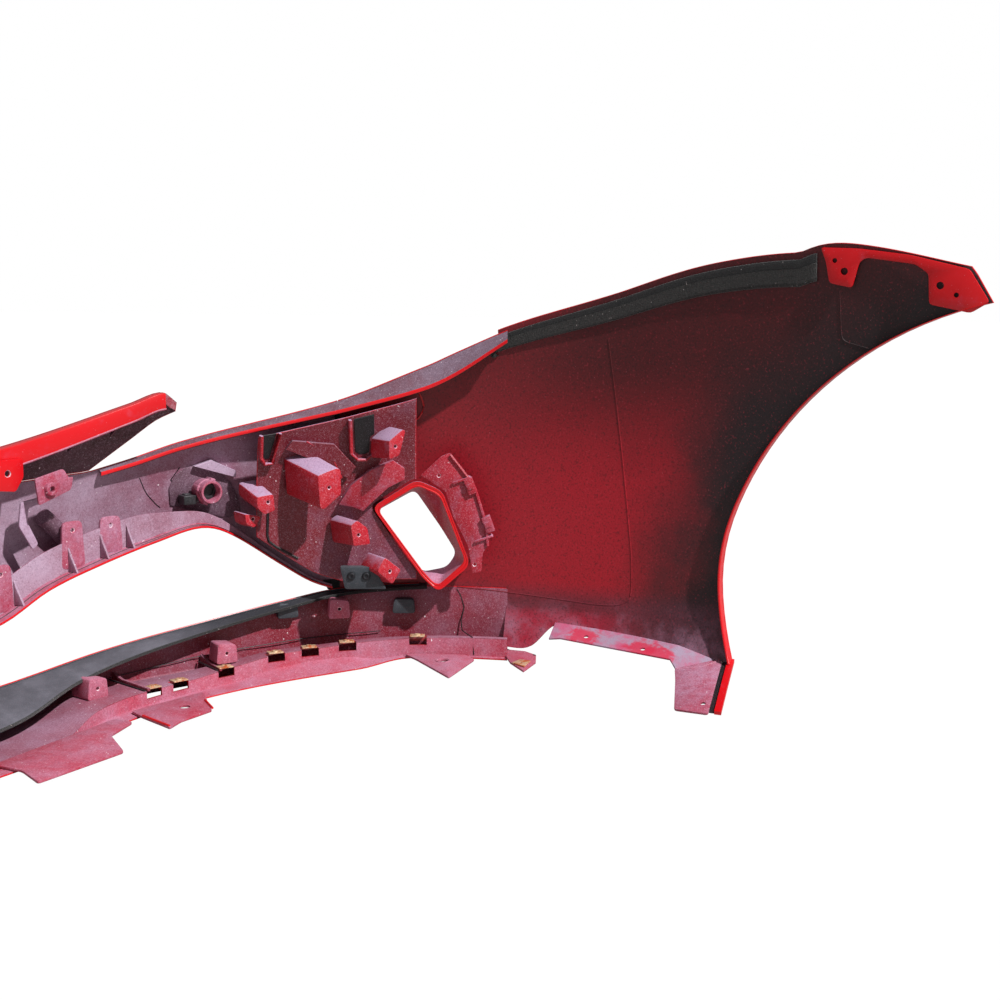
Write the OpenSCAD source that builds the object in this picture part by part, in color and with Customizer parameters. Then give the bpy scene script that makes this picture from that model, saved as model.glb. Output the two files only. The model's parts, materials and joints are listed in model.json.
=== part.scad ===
// Front bumper cover of a low sports car, seen as a bench assembly.
// Nose towards -Y, +Z up, origin on the floor at the middle of the cover.
// Every sub-part is drawn for the left half (X > 0) and mirrored for the right.

/* [Cover outline] */
// Half the width over the wings
half_w = 955; // [945:5:960]
// Nose tip in front of the origin
nose_fwd = 530; // [520:5:535]
// Widest station behind the origin
wide_y = 300; // [290:5:305]
// Squareness of the nose in plan
plan_power = 3.2; // [3.1:0.05:3.3]
// Wall of the moulded cover
wall = 3; // [2.5:0.5:3.5]

/* [Wheel arch] */
// Radius of the arch edge
arch_r = 438; // [434:1:440]
// Depth of the rolled arch edge
arch_lip_d = 15; // [10:1:18]

/* [Fixings] */
// Bore radius in the screw bosses
boss_bore_r = 2.1; // [1.8:0.1:2.4]
// Large bores in the fender joint flange
fender_bore_r = 4.5; // [4:0.25:5]
// Small bores in the fender joint flange
fender_pilot_r = 3; // [2.5:0.25:3.5]
// Bores in the sill flange
sill_bore_r = 3.5; // [3:0.25:4]
// Large bore in the undertray tabs
tray_bore_r = 7; // [6:0.5:8]
// Thickness of tabs and flanges
tab_t = 3; // [2.5:0.5:3.5]

/* [Trim] */
// Thickness of the black grille blade
blade_t = 4; // [3:0.5:5]
// Thickness of the felt strip on the wing
felt_t = 4; // [3:0.5:5]
// Outer diameter of the parking sensor
sensor_d = 22; // [20:1:24]

/* [Hidden] */
$fn = 48;
nose_len = wide_y + nose_fwd;
back_scale = 1000;
crease_z = 200;
tuck_z = 120;
corner_yaw = 63;
corner_x = half_w - 72;
corner_y = wide_y - 518;
grip = 0.3;
lip_flat = 28;
ledge_front = 34;
plate_z = 5;
rear_tab_z = 20.3;
duct_depth = 48;
skin_depth = 6;

// Heights and widths along the cover: station, millimetres
beam_low_line = [[0, 104], [0.14, 138], [0.19, 167], [0.25, 187], [0.32, 205], [0.38, 216], [0.42, 203],
    [0.5, 149], [0.54, 124], [0.578, 110]];
top_line = [[0.25, 294], [0.3, 306], [0.36, 323], [0.575, 369], [0.695, 413], [0.742, 435], [0.812, 469],
    [0.91, 511], [0.977, 551], [1.03, 572], [1.09, 569], [1.206, 544]];
shelf_drop_line = [[0.25, 3], [0.5, 6], [0.6, 12], [0.69, 24], [0.742, 24], [0.82, 6]];
shelf_deep_line = [[0.25, 8], [0.4, 14], [0.55, 21], [0.8, 21]];
split_line = [[0, 280], [0.15, 290], [0.25, 294]];
prong_low_line = [[0.25, 294], [0.3, 333], [0.326, 353], [0.351, 364]];
rail_top_line = [[0, 308], [0.147, 336], [0.289, 379], [0.328, 391], [0.351, 376]];
blade_top_line = [[0, 38], [0.15, 42], [0.262, 57], [0.388, 72], [0.5, 89], [0.578, 102], [0.7, 108]];
blade_width_line = [[0, 100], [0.14, 85], [0.22, 50], [0.37, 30], [0.578, 18], [0.7, 12]];
step_line = [[0, 139], [0.15, 139], [0.24, 98], [0.34, 76], [0.487, 56], [0.7, 46], [0.79, 44]];
flange_width_line = [[0, 26], [0.5, 26], [0.6, 22], [0.67, 5], [0.79, 5]];
ledge_line = [[0, 5.5], [0.17, 5.5], [0.22, 20], [0.36, 22], [0.42, 27], [0.48, 34], [0.55, 37], [0.62, 42],
    [0.7, 45], [0.8, 46]];
base_line = [[0, 5], [0.45, 5], [0.6, 12], [0.66, 19.5], [0.7, 20], [0.8, 20]];
foot_rise_line = [[0, 0], [0.38, 0], [0.42, 1], [0.48, 9], [0.585, 10], [0.63, 1], [0.66, 0], [0.8, 0]];
shelf_width_line = [[0, 58], [0.38, 52], [0.45, 24], [0.578, 15]];
rib_height_line = [[0, 36], [0.29, 36], [0.37, 18], [0.45, 8], [0.57, 2]];
lean_line = [[0, 58], [0.36, 48], [0.6, 38], [0.8, 26], [1.25, 20]];
lean_top_line = [[0, 370], [0.36, 370], [0.6, 390], [0.8, 465], [1, 560], [1.25, 560]];
tuck_line = [[0, 14], [0.6, 18], [0.8, 22], [1, 34], [1.25, 34]];
sill_line = [[-98, 28], [-60, 30], [-28, 60], [60, 52], [209, 36]];

// Duct outlines in the corner frame: at the skin and at the inner rim
duct_skin = soften([[-2, 243], [-56, 213], [7, 128], [42, 135], [55, 155], [34, 190]], 9);
duct_rim = soften([[4, 254], [-50, 221], [14, 132], [30, 116], [68, 150], [34, 240]], 9);

// Stations, and the arch and wing tip in side view
nose_end = 0.578;
notch = 0.25;
rib_at = 0.58;
prong_end = 0.351;
rail_end = 0.328;
band_top = 30;
band_taper = 28;
sensor_at = 0.39;
wing_start = 0.8;
wing_start_y = -98;
tip_z = 502;
tip_top = [506, 544];
tip_y = nose_fwd;
arch_cy = tip_y + 98;
arch_cz = 75;
sill_end_z = 36;
sill_x = 945;
sill_tilt = 17.5;
flare = 0.000775;
flare_z = 240;
tip_at = 0.94;

// Index of the key just before x
function key(keys, x, i = 0) = i + 2 < len(keys) && keys[i + 1][0] < x ? key(keys, x, i + 1) : i;

// Slope of the smooth curve at a key
function slope(keys, i) = let (a = keys[max(i - 1, 0)], b = keys[min(i + 1, len(keys) - 1)])
    (b[1] - a[1]) / (b[0] - a[0]);

// Smooth curve through the keys, level beyond its ends
function curve(keys, x) = let (
        i = key(keys, x),
        a = keys[i],
        b = keys[i + 1],
        h = b[0] - a[0],
        s = min(1, max(0, (x - a[0]) / h)),
        s2 = s * s,
        s3 = s2 * s)
    a[1] * (2 * s3 - 3 * s2 + 1) + b[1] * (3 * s2 - 2 * s3)
    + slope(keys, i) * h * (s3 - 2 * s2 + s) + slope(keys, i + 1) * h * (s3 - s2);

// How far the outer face leans in from the plan outline at a height
function lean(t, z) = let (u = abs(t), up = (z - crease_z) / (curve(lean_top_line, u) - crease_z),
        down = (tuck_z - z) / tuck_z)
    curve(lean_line, u) * pow(max(0, up), 2) + curve(tuck_line, u) * pow(max(0, down), 2);

// Point at a station along the plan outline, set in by some millimetres, at a height
function at(t, inset, z) = let (u = abs(t),
        s = u < 1 ? pow(sin(90 * u), 2 / plan_power) : 1,
        c = u < 1 ? pow(cos(90 * u), 2 / plan_power) : 0)
    [sign(t) * (half_w - inset) * s, wide_y + max(u - 1, 0) * back_scale - (nose_len - inset) * c, z];

// Point on the cover's outer face, or deeper inside it
function on_cover(t, z, depth = 0) = at(t, lean(t, z) + depth, z);

// Station of the plan outline at a distance along the car
function station_of(y) = y < wide_y ? acos(pow((wide_y - y) / nose_len, plan_power / 2)) / 90
    : 1 + (y - wide_y) / back_scale;

// Point on the wing's outer face at a distance along the car
function on_wing(y, z, depth = 0) = let (
        t = station_of(y),
        inset = lean(t, z) + depth,
        back = max(0, (wide_y - y) / (nose_len - inset)))
    [(half_w - inset) * pow(1 - pow(back, plan_power), 1 / plan_power), y, z];

function steps(a, b, n) = [for (i = [0 : n]) a + (b - a) * i / n];

// Closed thin solid between an outer and an inner grid of points
module shell(outer, inner) {
    n = len(outer);
    m = len(outer[0]);
    size = n * m;
    points = concat([for (column = outer) each column], [for (column = inner) each column]);
    skins = [for (i = [0 : n - 2], j = [0 : m - 2]) let (a = i * m + j, b = a + 1, c = a + m, d = c + 1)
        each [[a, b, c], [b, d, c], [size + a, size + c, size + b], [size + b, size + c, size + d]]];
    ends = [for (j = [0 : m - 2]) let (a = j, b = j + 1, c = size - m + j, d = c + 1)
        each [[a, size + a, b], [b, size + a, size + b], [c, d, size + c], [d, size + d, size + c]]];
    sides = [for (i = [0 : n - 2]) let (a = i * m, b = a + m, c = a + m - 1, d = c + m)
        each [[a, b, size + a], [b, size + b, size + a], [c, size + c, d], [d, size + c, size + d]]];
    polyhedron(points, concat(skins, ends, sides), convexity = 8);
}

// Strip of the cover between two height lines
module cover_strip(stations, low, high, rows, depth = 0, thick = wall) {
    grid = function (d) [for (t = stations) let (a = low(abs(t)), b = high(abs(t)))
        [for (j = [0 : rows]) on_cover(t, a + (b - a) * j / rows, d)]];
    shell(grid(depth), grid(depth + thick));
}

// Solid through closed rings of points; loop joins the last ring to the first, else caps close the ends
module loft(rings, loop = false) {
    n = len(rings);
    m = len(rings[0]);
    sides = [for (i = [0 : n - (loop ? 1 : 2)], j = [0 : m - 1]) let (
            k = (j + 1) % m, a = i * m + j, b = i * m + k, c = (i + 1) % n * m + j, d = (i + 1) % n * m + k)
        each [[a, b, c], [b, d, c]]];
    ends = loop ? [] : [[for (j = [m - 1 : -1 : 0]) j], [for (j = [0 : m - 1]) (n - 1) * m + j]];
    polyhedron([for (ring = rings) each ring], concat(sides, ends), convexity = 8);
}

// Bar swept along the plan outline, its closed section given as points of [inset, height]
module swept_bar(stations, section) loft([for (t = stations) [for (p = section(abs(t))) at(t, p[0], p[1])]]);

// Outline with its corners rounded over a length, each with a few points
function soften(points, length, n = 4) = let (count = len(points)) [for (i = [0 : count - 1]) let (
        p = points[i],
        a = points[(i + count - 1) % count] - p,
        b = points[(i + 1) % count] - p,
        start = p + a / norm(a) * length,
        end = p + b / norm(b) * length)
    for (k = [0 : n]) let (s = k / n) pow(1 - s, 2) * start + 2 * s * (1 - s) * p + s * s * end];

// Outline moved out from its middle, placed at a height
function middle(points) = [for (p = points) 1] * points / len(points);
function ring(points, grow, z) = let (c = middle(points))
    [for (p = points) let (d = p - c, q = c + d * (1 + grow / norm(d))) [q[0], q[1], z]];

module right() mirror([1, 0, 0]) children();

// Local frame on the plan outline: x along the cover, y into the car, z up
module on_plan(t, inset, z) {
    ahead = at(t + 0.004, inset, z) - at(t - 0.004, inset, z);
    translate(at(t, inset, z)) rotate([0, 0, atan2(ahead[1], ahead[0])]) children();
}

// Local frame at the front corner: x rearwards along the skin, y up, z outwards
module corner_frame(depth) translate([corner_x, corner_y, 0]) rotate([0, 0, corner_yaw]) rotate([90, 0, 0])
    translate([0, 0, -depth]) children();

module nose_skin() color("crimson") cover_strip(steps(-nose_end, nose_end, 64),
    function (t) curve(beam_low_line, t),
    function (t) t < notch ? curve(split_line, t) : curve(top_line, t), 7);

module beak_skin() color("crimson") cover_strip(steps(-prong_end, prong_end, 44),
    function (t) t < notch ? curve(split_line, t) + grip : curve(prong_low_line, t) + grip,
    function (t) curve(rail_top_line, t), 4);

// Bright return along the bonnet gap: a lip inwards and a band down
module bonnet_edge_rail() color("red") {
    lip = 16;
    top = function (t) curve(rail_top_line, t);
    low = function (t) top(t) - band_top + band_taper * t;
    back = function (t) lean(t, top(t)) + wall + grip;
    swept_bar(steps(-rail_end, rail_end, 40), function (t) [
        [back(t), top(t)], [back(t) + lip, top(t)], [back(t) + lip, low(t)],
        [back(t) + lip - wall, low(t)], [back(t) + lip - wall, top(t) - wall],
        [back(t), top(t) - wall]]);
}

// Lip turned under, then a raised floor, a step down and a rear flange
module lower_valance() color("crimson") {
    top = function (t) curve(blade_top_line, t);
    mid = function (t) lean(t, 60) - 2;
    ledge = function (t) curve(ledge_line, t);
    base = function (t) curve(base_line, t);
    foot = function (t) base(t) + curve(foot_rise_line, t);
    rise = function (t) base(t) - plate_z;
    step = function (t) curve(step_line, t);
    rear = function (t) step(t) + curve(flange_width_line, t);
    swept_bar(steps(-wing_start, wing_start, 72), function (t) [
        [lean(t, top(t)), top(t)], [mid(t), 0.55 * top(t) + 0.4 * rise(t)], [3, 14 + rise(t)],
        [8, 4 + rise(t)], [14, rise(t)], [lip_flat, rise(t)],
        [ledge_front + 2, ledge(t) - wall], [step(t) - wall, ledge(t) - wall],
        [step(t) - wall, foot(t) - wall], [rear(t), base(t) - wall], [rear(t), base(t)], [step(t), foot(t)],
        [step(t), ledge(t)], [ledge_front, ledge(t)], [lip_flat - 2, wall + rise(t)], [15, wall + rise(t)],
        [10, 6 + rise(t)], [3 + wall, 15 + rise(t)],
        [mid(t) + wall, 0.55 * top(t) + 0.4 * rise(t)], [lean(t, top(t)) + wall, top(t)]]);
}

// Shelf at the beam's lower edge with an upright wall and gussets on it
module beam_lower_flange() color("indianred") {
    low = function (t) curve(beam_low_line, t) - 4;
    wide = function (t) curve(shelf_width_line, t);
    floor_z = function (t) low(t) + wall;
    rib_z = function (t) floor_z(t) + curve(rib_height_line, t);
    swept_bar(steps(-0.57, 0.57, 60), function (t) [
        [4, floor_z(t)], [wide(t) * rib_at, floor_z(t)], [wide(t) * rib_at, rib_z(t)],
        [wide(t) * rib_at + wall, rib_z(t)], [wide(t) * rib_at + wall, floor_z(t)], [wide(t), floor_z(t)],
        [wide(t), low(t)], [4, low(t)]]);
}

// Gussets between the upright wall and the shelf
module beam_gussets() color("rosybrown") for (side = [-1, 1], t = [0.05, 0.105, 0.163, 0.22, 0.257, 0.289])
    on_plan(side * t, curve(shelf_width_line, t) * rib_at + wall, curve(beam_low_line, t) - 4 + wall)
        rotate([90, 0, 90]) linear_extrude(wall) polygon([[0.2, 0.2], [18, 0.2], [0.2, 30]]);

// Black blade along the top of the valance, wide at the middle
module grille_blade() color("black") {
    top = function (t) curve(blade_top_line, t) + grip;
    wide = function (t) curve(blade_width_line, t);
    mid_drop = 0.07;
    back_drop = 0.22;
    swept_bar(steps(-0.7, 0.7, 60), function (t) [
        [4, top(t) + blade_t], [4 + wide(t) / 2, top(t) + blade_t - wide(t) * mid_drop],
        [4 + wide(t), top(t) + blade_t - wide(t) * back_drop],
        [4 + wide(t), top(t) - wide(t) * back_drop], [4 + wide(t) / 2, top(t) - wide(t) * mid_drop],
        [4, top(t)]]);
}

// Plug of the duct's outline, from inside the rim to outside the skin
module duct_plug(grow) corner_frame(0)
    loft([ring(duct_skin, grow, 30), ring(duct_rim, grow, -duct_depth),
        ring(duct_rim, grow, -duct_depth - 40)]);

module corner_skin() color("crimson") difference() {
    cover_strip(steps(nose_end + 0.001, wing_start, 14), function (t) curve(blade_top_line, t) + grip,
        function (t) curve(top_line, t), 12);
    duct_plug(3.6);
}

// Funnel from the window in the skin to the rim inside
module duct_frame() color("firebrick") corner_frame(0) loft([
    ring(duct_rim, 8, -duct_depth), ring(duct_rim, 8, 4 - duct_depth), ring(duct_rim, 3, 4 - duct_depth),
    ring(duct_skin, 3, -skin_depth), ring(duct_skin, 0, -skin_depth),
    ring(duct_rim, 0, -duct_depth)], loop = true);

// Plate beside the duct that holds the wing liner, with two screw bores
module clip_bracket() color("crimson") corner_frame(duct_depth) difference() {
    union() {
        linear_extrude(tab_t) polygon([[8, 268], [36, 294], [48, 299], [62, 280], [80, 256], [97, 202],
            [99, 172], [92, 162], [90, 136], [78, 134], [75, 154], [72, 172], [52, 212], [42, 246],
            [16, 264]]);
        for (p = [[52, 256], [82, 176]])
            translate([p[0], p[1], tab_t]) rotate([0, 0, 20]) cube([28, tab_t, 14]);
    }
    for (p = [[33, 268], [81, 146]])
        translate([p[0], p[1], -1]) cylinder(r = boss_bore_r, h = tab_t + 2);
}

// Spring clips pushed over the outer edge of the bracket
module bracket_clips() color("firebrick") corner_frame(duct_depth + 5.3)
    for (p = [[66, 262], [90, 210]])
        translate([p[0], p[1], 0]) rotate([0, 0, -70]) difference() {
            cube([22, 12, 14]);
            translate([-1, -1, 4]) cube([20, 9, 6]);
        }

// Top return of the headlamp cut-out, from the notch to the wing
module lamp_shelf() color("red") {
    deep = function (t) curve(shelf_deep_line, t);
    bead = 7;
    top = function (t) curve(top_line, t) - 1;
    low = function (t) top(t) - curve(shelf_drop_line, t);
    back = function (t) lean(t, top(t)) + wall + grip;
    swept_bar(steps(0.262, wing_start, 40), function (t) [
        [back(t), top(t)], [back(t) + deep(t), low(t)], [back(t) + deep(t), low(t) - bead],
        [back(t) + deep(t) - wall, low(t) - bead], [back(t) + deep(t) - wall, low(t) - wall],
        [back(t), top(t) - wall]]);
}

// Inner panel behind the headlamp cut-out, with two slots
module lamp_support() color("firebrick") difference() {
    cover_strip(steps(0.46, 0.685, 14), function (t) max(curve(beam_low_line, min(t, nose_end)) + 14, 122),
        function (t) curve(top_line, t) - curve(shelf_drop_line, t) - 12, 8, 34);
    corner_frame(140) {
        linear_extrude(138) translate([-80, 292]) square([24, 56]);
        linear_extrude(138) translate([-217, 286]) square([24, 28]);
    }
    duct_plug(12);
}

// Hollow screw boss that reaches forward from its face to the panel behind it
module horn(r, z, depth, points, reach) corner_frame(depth) translate([r, z, 0]) rotate([0, -38, 0])
    difference() {
        linear_extrude(reach) polygon(points);
        translate([0, 0, -1]) cylinder(r = boss_bore_r, h = 21);
    }

module lamp_bosses() color("red") {
    horn(-107, 261, 118, [[-17, 17], [12, 25], [18, 22], [18, -10], [-8, -28], [-14, -26]], 62);
    horn(-22, 312, 92, [[-10, 8], [12, 22], [16, 20], [6, -12], [-10, -16]], 40);
    horn(-188, 241, 112, [[-16, 8], [8, 10], [10, -12], [-6, -16], [-16, -6]], 40);
    horn(-209, 218, 108, [[-12, 8], [12, 2], [2, -12], [-10, -6]], 30);
    horn(-72, 194, 92, [[-12, 14], [-2, 20], [14, 8], [18, -14], [-8, -14]], 50);
    horn(-31, 145, 92, [[-20, 2], [-8, 20], [18, 0], [4, -18]], 40);
}

module sensor_holder() color("indianred") on_plan(sensor_at, 0, 256) rotate([-90, 0, 0]) difference() {
    translate([0, 0, 8]) cylinder(r = sensor_d / 2 + 4, h = 38);
    translate([0, 0, 4]) cylinder(r = sensor_d / 2 + 0.3, h = 50);
}

module parking_sensor() color("dimgray") on_plan(sensor_at, 0, 256) rotate([-90, 0, 0]) {
    translate([0, 0, 7]) cylinder(r = sensor_d / 2, h = 26);
    translate([0, 0, 5]) cylinder(r = sensor_d / 2 - 3, h = 2);
}

module sensor_plug() color("black") on_plan(sensor_at, 0, 256) translate([-34, 14, -16]) {
    cube([18, 20, 12]);
    translate([18, 6, 3]) cube([3, 8, 6]);
}

module blade_end_bracket() color("darkslategray") corner_frame(88) difference() {
    linear_extrude(tab_t) polygon([[-98, 150], [-54, 150], [-36, 120], [-92, 120]]);
    for (x = [-83, -63])
        translate([x, 138, -1]) cylinder(r = sill_bore_r, h = tab_t + 2);
}

module blade_screws() color("black") corner_frame(88) for (x = [-83, -63])
    translate([x, 138, -3]) {
        cylinder(r = 5.5, h = 3);
        cylinder(r = sill_bore_r - grip, h = 14);
    }

// Wing panel between the corner, the fender line, the arch and the sill
function wing_top(s) = s < tip_at ? let (y = wing_start_y + (tip_top[0] - wing_start_y) * s / tip_at)
        [y, curve(top_line, station_of(y))]
    : tip_top + ([tip_y, tip_z] - tip_top) * (s - tip_at) / (1 - tip_at);
function wing_sill(s) = let (y = wing_start_y + (wing_rear(0)[0] - wing_start_y) * s)
    [y, curve(sill_line, y)];
function wing_rear(v) = let (
        low = asin((sill_end_z - arch_cz) / arch_r),
        high = asin((tip_z - arch_cz) / arch_r),
        z = arch_cz + arch_r * sin(low + (high - low) * v))
    [arch_cy - sqrt(pow(arch_r, 2) - pow(z - arch_cz, 2)) + flare * pow(max(0, flare_z - z), 2), z];
function wing_front(v) = wing_sill(0) + (wing_top(0) - wing_sill(0)) * v;
function wing_point(s, v) = (1 - v) * wing_sill(s) + v * wing_top(s)
    + (1 - s) * wing_front(v) + s * wing_rear(v)
    - (1 - s) * (1 - v) * wing_sill(0) - s * (1 - v) * wing_rear(0)
    - (1 - s) * v * wing_top(0) - s * v * [tip_y, tip_z];

module wing_skin() color("crimson") {
    grid = function (depth) [for (s = steps(0, 1, 28)) [for (v = steps(0, 1, 12))
        let (p = wing_point(s, v)) on_wing(p[0], p[1], depth)]];
    shell(grid(0), grid(wall));
}

// Rolled edge of the wheel arch, turned in from the wing
module arch_lip() color("red") {
    edge = function (ahead) [for (v = steps(0, 1, 24)) [for (d = [wall, arch_lip_d])
        let (p = wing_rear(v)) on_wing(p[0] - ahead, p[1], d)]];
    shell(edge(0), edge(wall));
}

// Flange inside the sill edge, tilted down towards the middle of the car
module sill_flange() color("palevioletred") translate([sill_x, 60, 61]) rotate([-5.5, 0, 0])
    rotate([0, -sill_tilt, 0]) difference() {
        outer = [for (y = steps(-28, 150, 8)) let (p = on_wing(y, 58 - 0.1 * (y - 60), wall + grip))
            [(p[0] - sill_x) / cos(sill_tilt), y - 60]];
        translate([0, 0, -wall]) linear_extrude(tab_t)
            polygon(concat(outer, [[-42, 92], [-49, -64], [-56, -78]]));
        for (y = [-33, 49])
            translate([-33.5, y, -wall - 1]) cylinder(r = sill_bore_r, h = tab_t + 2);
    }

module arch_closing_tab() color("palevioletred") translate([808, 0, 0]) rotate([0, -14.6, 0]) difference() {
    linear_extrude(tab_t) polygon([[0, 192], [0, 236], [138, 209], [134, 160], [98, 157], [70, 168]]);
    translate([22, 222, -1]) cylinder(r = sill_bore_r, h = tab_t + 2);
}

// Return flange at the wing tip, with two pairs of bores for the fender
module fender_flange() color("red") translate([930, 0, 0]) rotate([0, -90, 0]) difference() {
    linear_extrude(tab_t) polygon([[568, 326], [566, 373], [558, 434], [541, 503], [503, 527], [490, 506],
        [500, 458], [536, 456], [547, 440], [555, 382], [550, 374], [519, 366], [525, 338], [551, 333]]);
    for (p = [[539, 356], [522, 470]])
        translate([p[0], p[1], -1]) cylinder(r = fender_bore_r, h = tab_t + 2);
    for (p = [[552, 344], [511, 489]])
        translate([p[0], p[1], -1]) cylinder(r = fender_pilot_r, h = tab_t + 2);
}

// Felt strip glued inside the wing's upper edge
module edge_felt() color("black") {
    wide = function (y) 20 + 14 * (y + 120) / 440;
    grid = function (depth) [for (y = steps(-120, 322, 22)) let (top = curve(top_line, station_of(y)) - 9)
        [for (k = [1, 0.5, 0]) on_wing(y, top - k * wide(y), depth)]];
    shell(grid(wall + grip), grid(wall + grip + felt_t));
}

// Screw bosses on the raised floor, and one on the wall under the blade
module valance_bosses() color("crimson")
    for (p = [[0.236, 66, 20.3, 34], [0.411, 50, 28.4, 28], [0.576, 38, 72, 26]])
        on_plan(p[0], p[1], p[2]) rotate([90, 0, 0]) difference() {
            linear_extrude(p[3]) polygon([[-15, 0], [15, 0], [13, 24], [-12, 27]]);
            translate([0, 13, -1]) cylinder(r = boss_bore_r, h = 21);
        }

// Plated spring nuts along the edge of the raised floor
module spring_nuts() color("goldenrod") for (t = [0.3, 0.338, 0.405, 0.48, 0.53, 0.585, 0.685])
    on_plan(t, curve(step_line, t) - 9, curve(ledge_line, t) + grip) difference() {
        translate([-10, -7, 0]) cube([20, 14, 1.6]);
        translate([0, 0, -1]) cylinder(r = boss_bore_r, h = 4);
    }

// Rear flap of the floor pan near the middle
module undertray_flap() color("palevioletred") translate([0, 0, plate_z + 0.5]) linear_extrude(tab_t)
    polygon([[252, -384], [252, -342], [231, -299], [353, -289], [393, -343], [446, -356], [446, -384]]);

// Tab with a large bore for the undertray
module undertray_tab() color("palevioletred") translate([0, 0, plate_z]) difference() {
    linear_extrude(tab_t)
        polygon([[482, -389], [469, -360], [449, -303], [477, -309], [531, -305], [562, -336], [592, -366]]);
    translate([526, -343, -1]) cylinder(r = tray_bore_r, h = tab_t + 2);
}

// Triangular tab with the large bore near the wheel
module jacking_tab() color("palevioletred") translate([0, 0, rear_tab_z]) difference() {
    linear_extrude(tab_t)
        polygon([[828, -207], [811, -179], [748, -94], [846, -108], [861, -131], [835, -194]]);
    translate([818, -141, -1]) cylinder(r = tray_bore_r, h = tab_t + 2);
}

// Tab hanging from the rail, for the bonnet latch
module bonnet_tab() color("red") on_plan(0.153, 60, 303) rotate([90, 0, 0]) difference() {
    linear_extrude(tab_t) polygon([[-30, 22], [-34, -10], [10, -16], [22, 0], [22, 22]]);
    translate([0, 6, -1]) cylinder(r = sill_bore_r, h = tab_t + 2);
}

module latch_bracket() color("rosybrown") on_plan(0.195, 66, 284) rotate([90, 0, 0]) {
    difference() {
        union() {
            linear_extrude(tab_t) polygon([[-24, 16], [16, 24], [24, 12], [30, 14], [26, -2], [-20, -16]]);
            translate([-4, 2, -5]) cylinder(r = 8, h = 5);
        }
        translate([-4, 2, -6]) cylinder(r = sill_bore_r, h = tab_t + 8);
    }
}

// Strap that hooks over the impact beam's foam
module hook_strap() color("thistle") on_plan(0.178, 40, 226) rotate([90, 0, 0]) linear_extrude(tab_t)
    polygon([[-10, 44], [22, 48], [20, 40], [0, 36], [-2, 20], [12, -8], [4, -14], [-14, 16]]);

nose_skin();
beak_skin();
bonnet_edge_rail();
lower_valance();
beam_lower_flange();
grille_blade();
beam_gussets();
corner_skin();  // corner_skin_left
right() corner_skin();  // corner_skin_right
wing_skin();  // wing_skin_left
right() wing_skin();  // wing_skin_right
arch_lip();  // arch_lip_left
right() arch_lip();  // arch_lip_right
sill_flange();  // sill_flange_left
right() sill_flange();  // sill_flange_right
arch_closing_tab();  // arch_closing_tab_left
right() arch_closing_tab();  // arch_closing_tab_right
fender_flange();  // fender_flange_left
right() fender_flange();  // fender_flange_right
lamp_shelf();  // lamp_shelf_left
right() lamp_shelf();  // lamp_shelf_right
lamp_support();  // lamp_support_left
right() lamp_support();  // lamp_support_right
lamp_bosses();  // lamp_bosses_left
right() lamp_bosses();  // lamp_bosses_right
duct_frame();  // duct_frame_left
right() duct_frame();  // duct_frame_right
clip_bracket();  // clip_bracket_left
right() clip_bracket();  // clip_bracket_right
bracket_clips();  // bracket_clips_left
right() bracket_clips();  // bracket_clips_right
sensor_holder();  // sensor_holder_left
right() sensor_holder();  // sensor_holder_right
parking_sensor();  // parking_sensor_left
right() parking_sensor();  // parking_sensor_right
sensor_plug();  // sensor_plug_left
right() sensor_plug();  // sensor_plug_right
blade_end_bracket();  // blade_end_bracket_left
right() blade_end_bracket();  // blade_end_bracket_right
blade_screws();  // blade_screws_left
right() blade_screws();  // blade_screws_right
edge_felt();  // edge_felt_left
right() edge_felt();  // edge_felt_right
valance_bosses();  // valance_bosses_left
right() valance_bosses();  // valance_bosses_right
spring_nuts();  // spring_nuts_left
right() spring_nuts();  // spring_nuts_right
undertray_flap();  // undertray_flap_left
right() undertray_flap();  // undertray_flap_right
undertray_tab();  // undertray_tab_left
right() undertray_tab();  // undertray_tab_right
jacking_tab();  // jacking_tab_left
right() jacking_tab();  // jacking_tab_right
bonnet_tab();  // bonnet_tab_left
right() bonnet_tab();  // bonnet_tab_right
hook_strap();  // hook_strap_left
right() hook_strap();  // hook_strap_right
latch_bracket();  // latch_bracket_left
right() latch_bracket();  // latch_bracket_right
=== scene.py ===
"""Front bumper cover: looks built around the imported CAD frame. Nose towards -Y, +Z up.

Shapes repeat the CAD's own lines in millimetres, and each mesh is scaled to metres once, in from_bmesh().
"""

import json
import math

import bmesh
import bpy
from mathutils import Matrix, Vector

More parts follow.
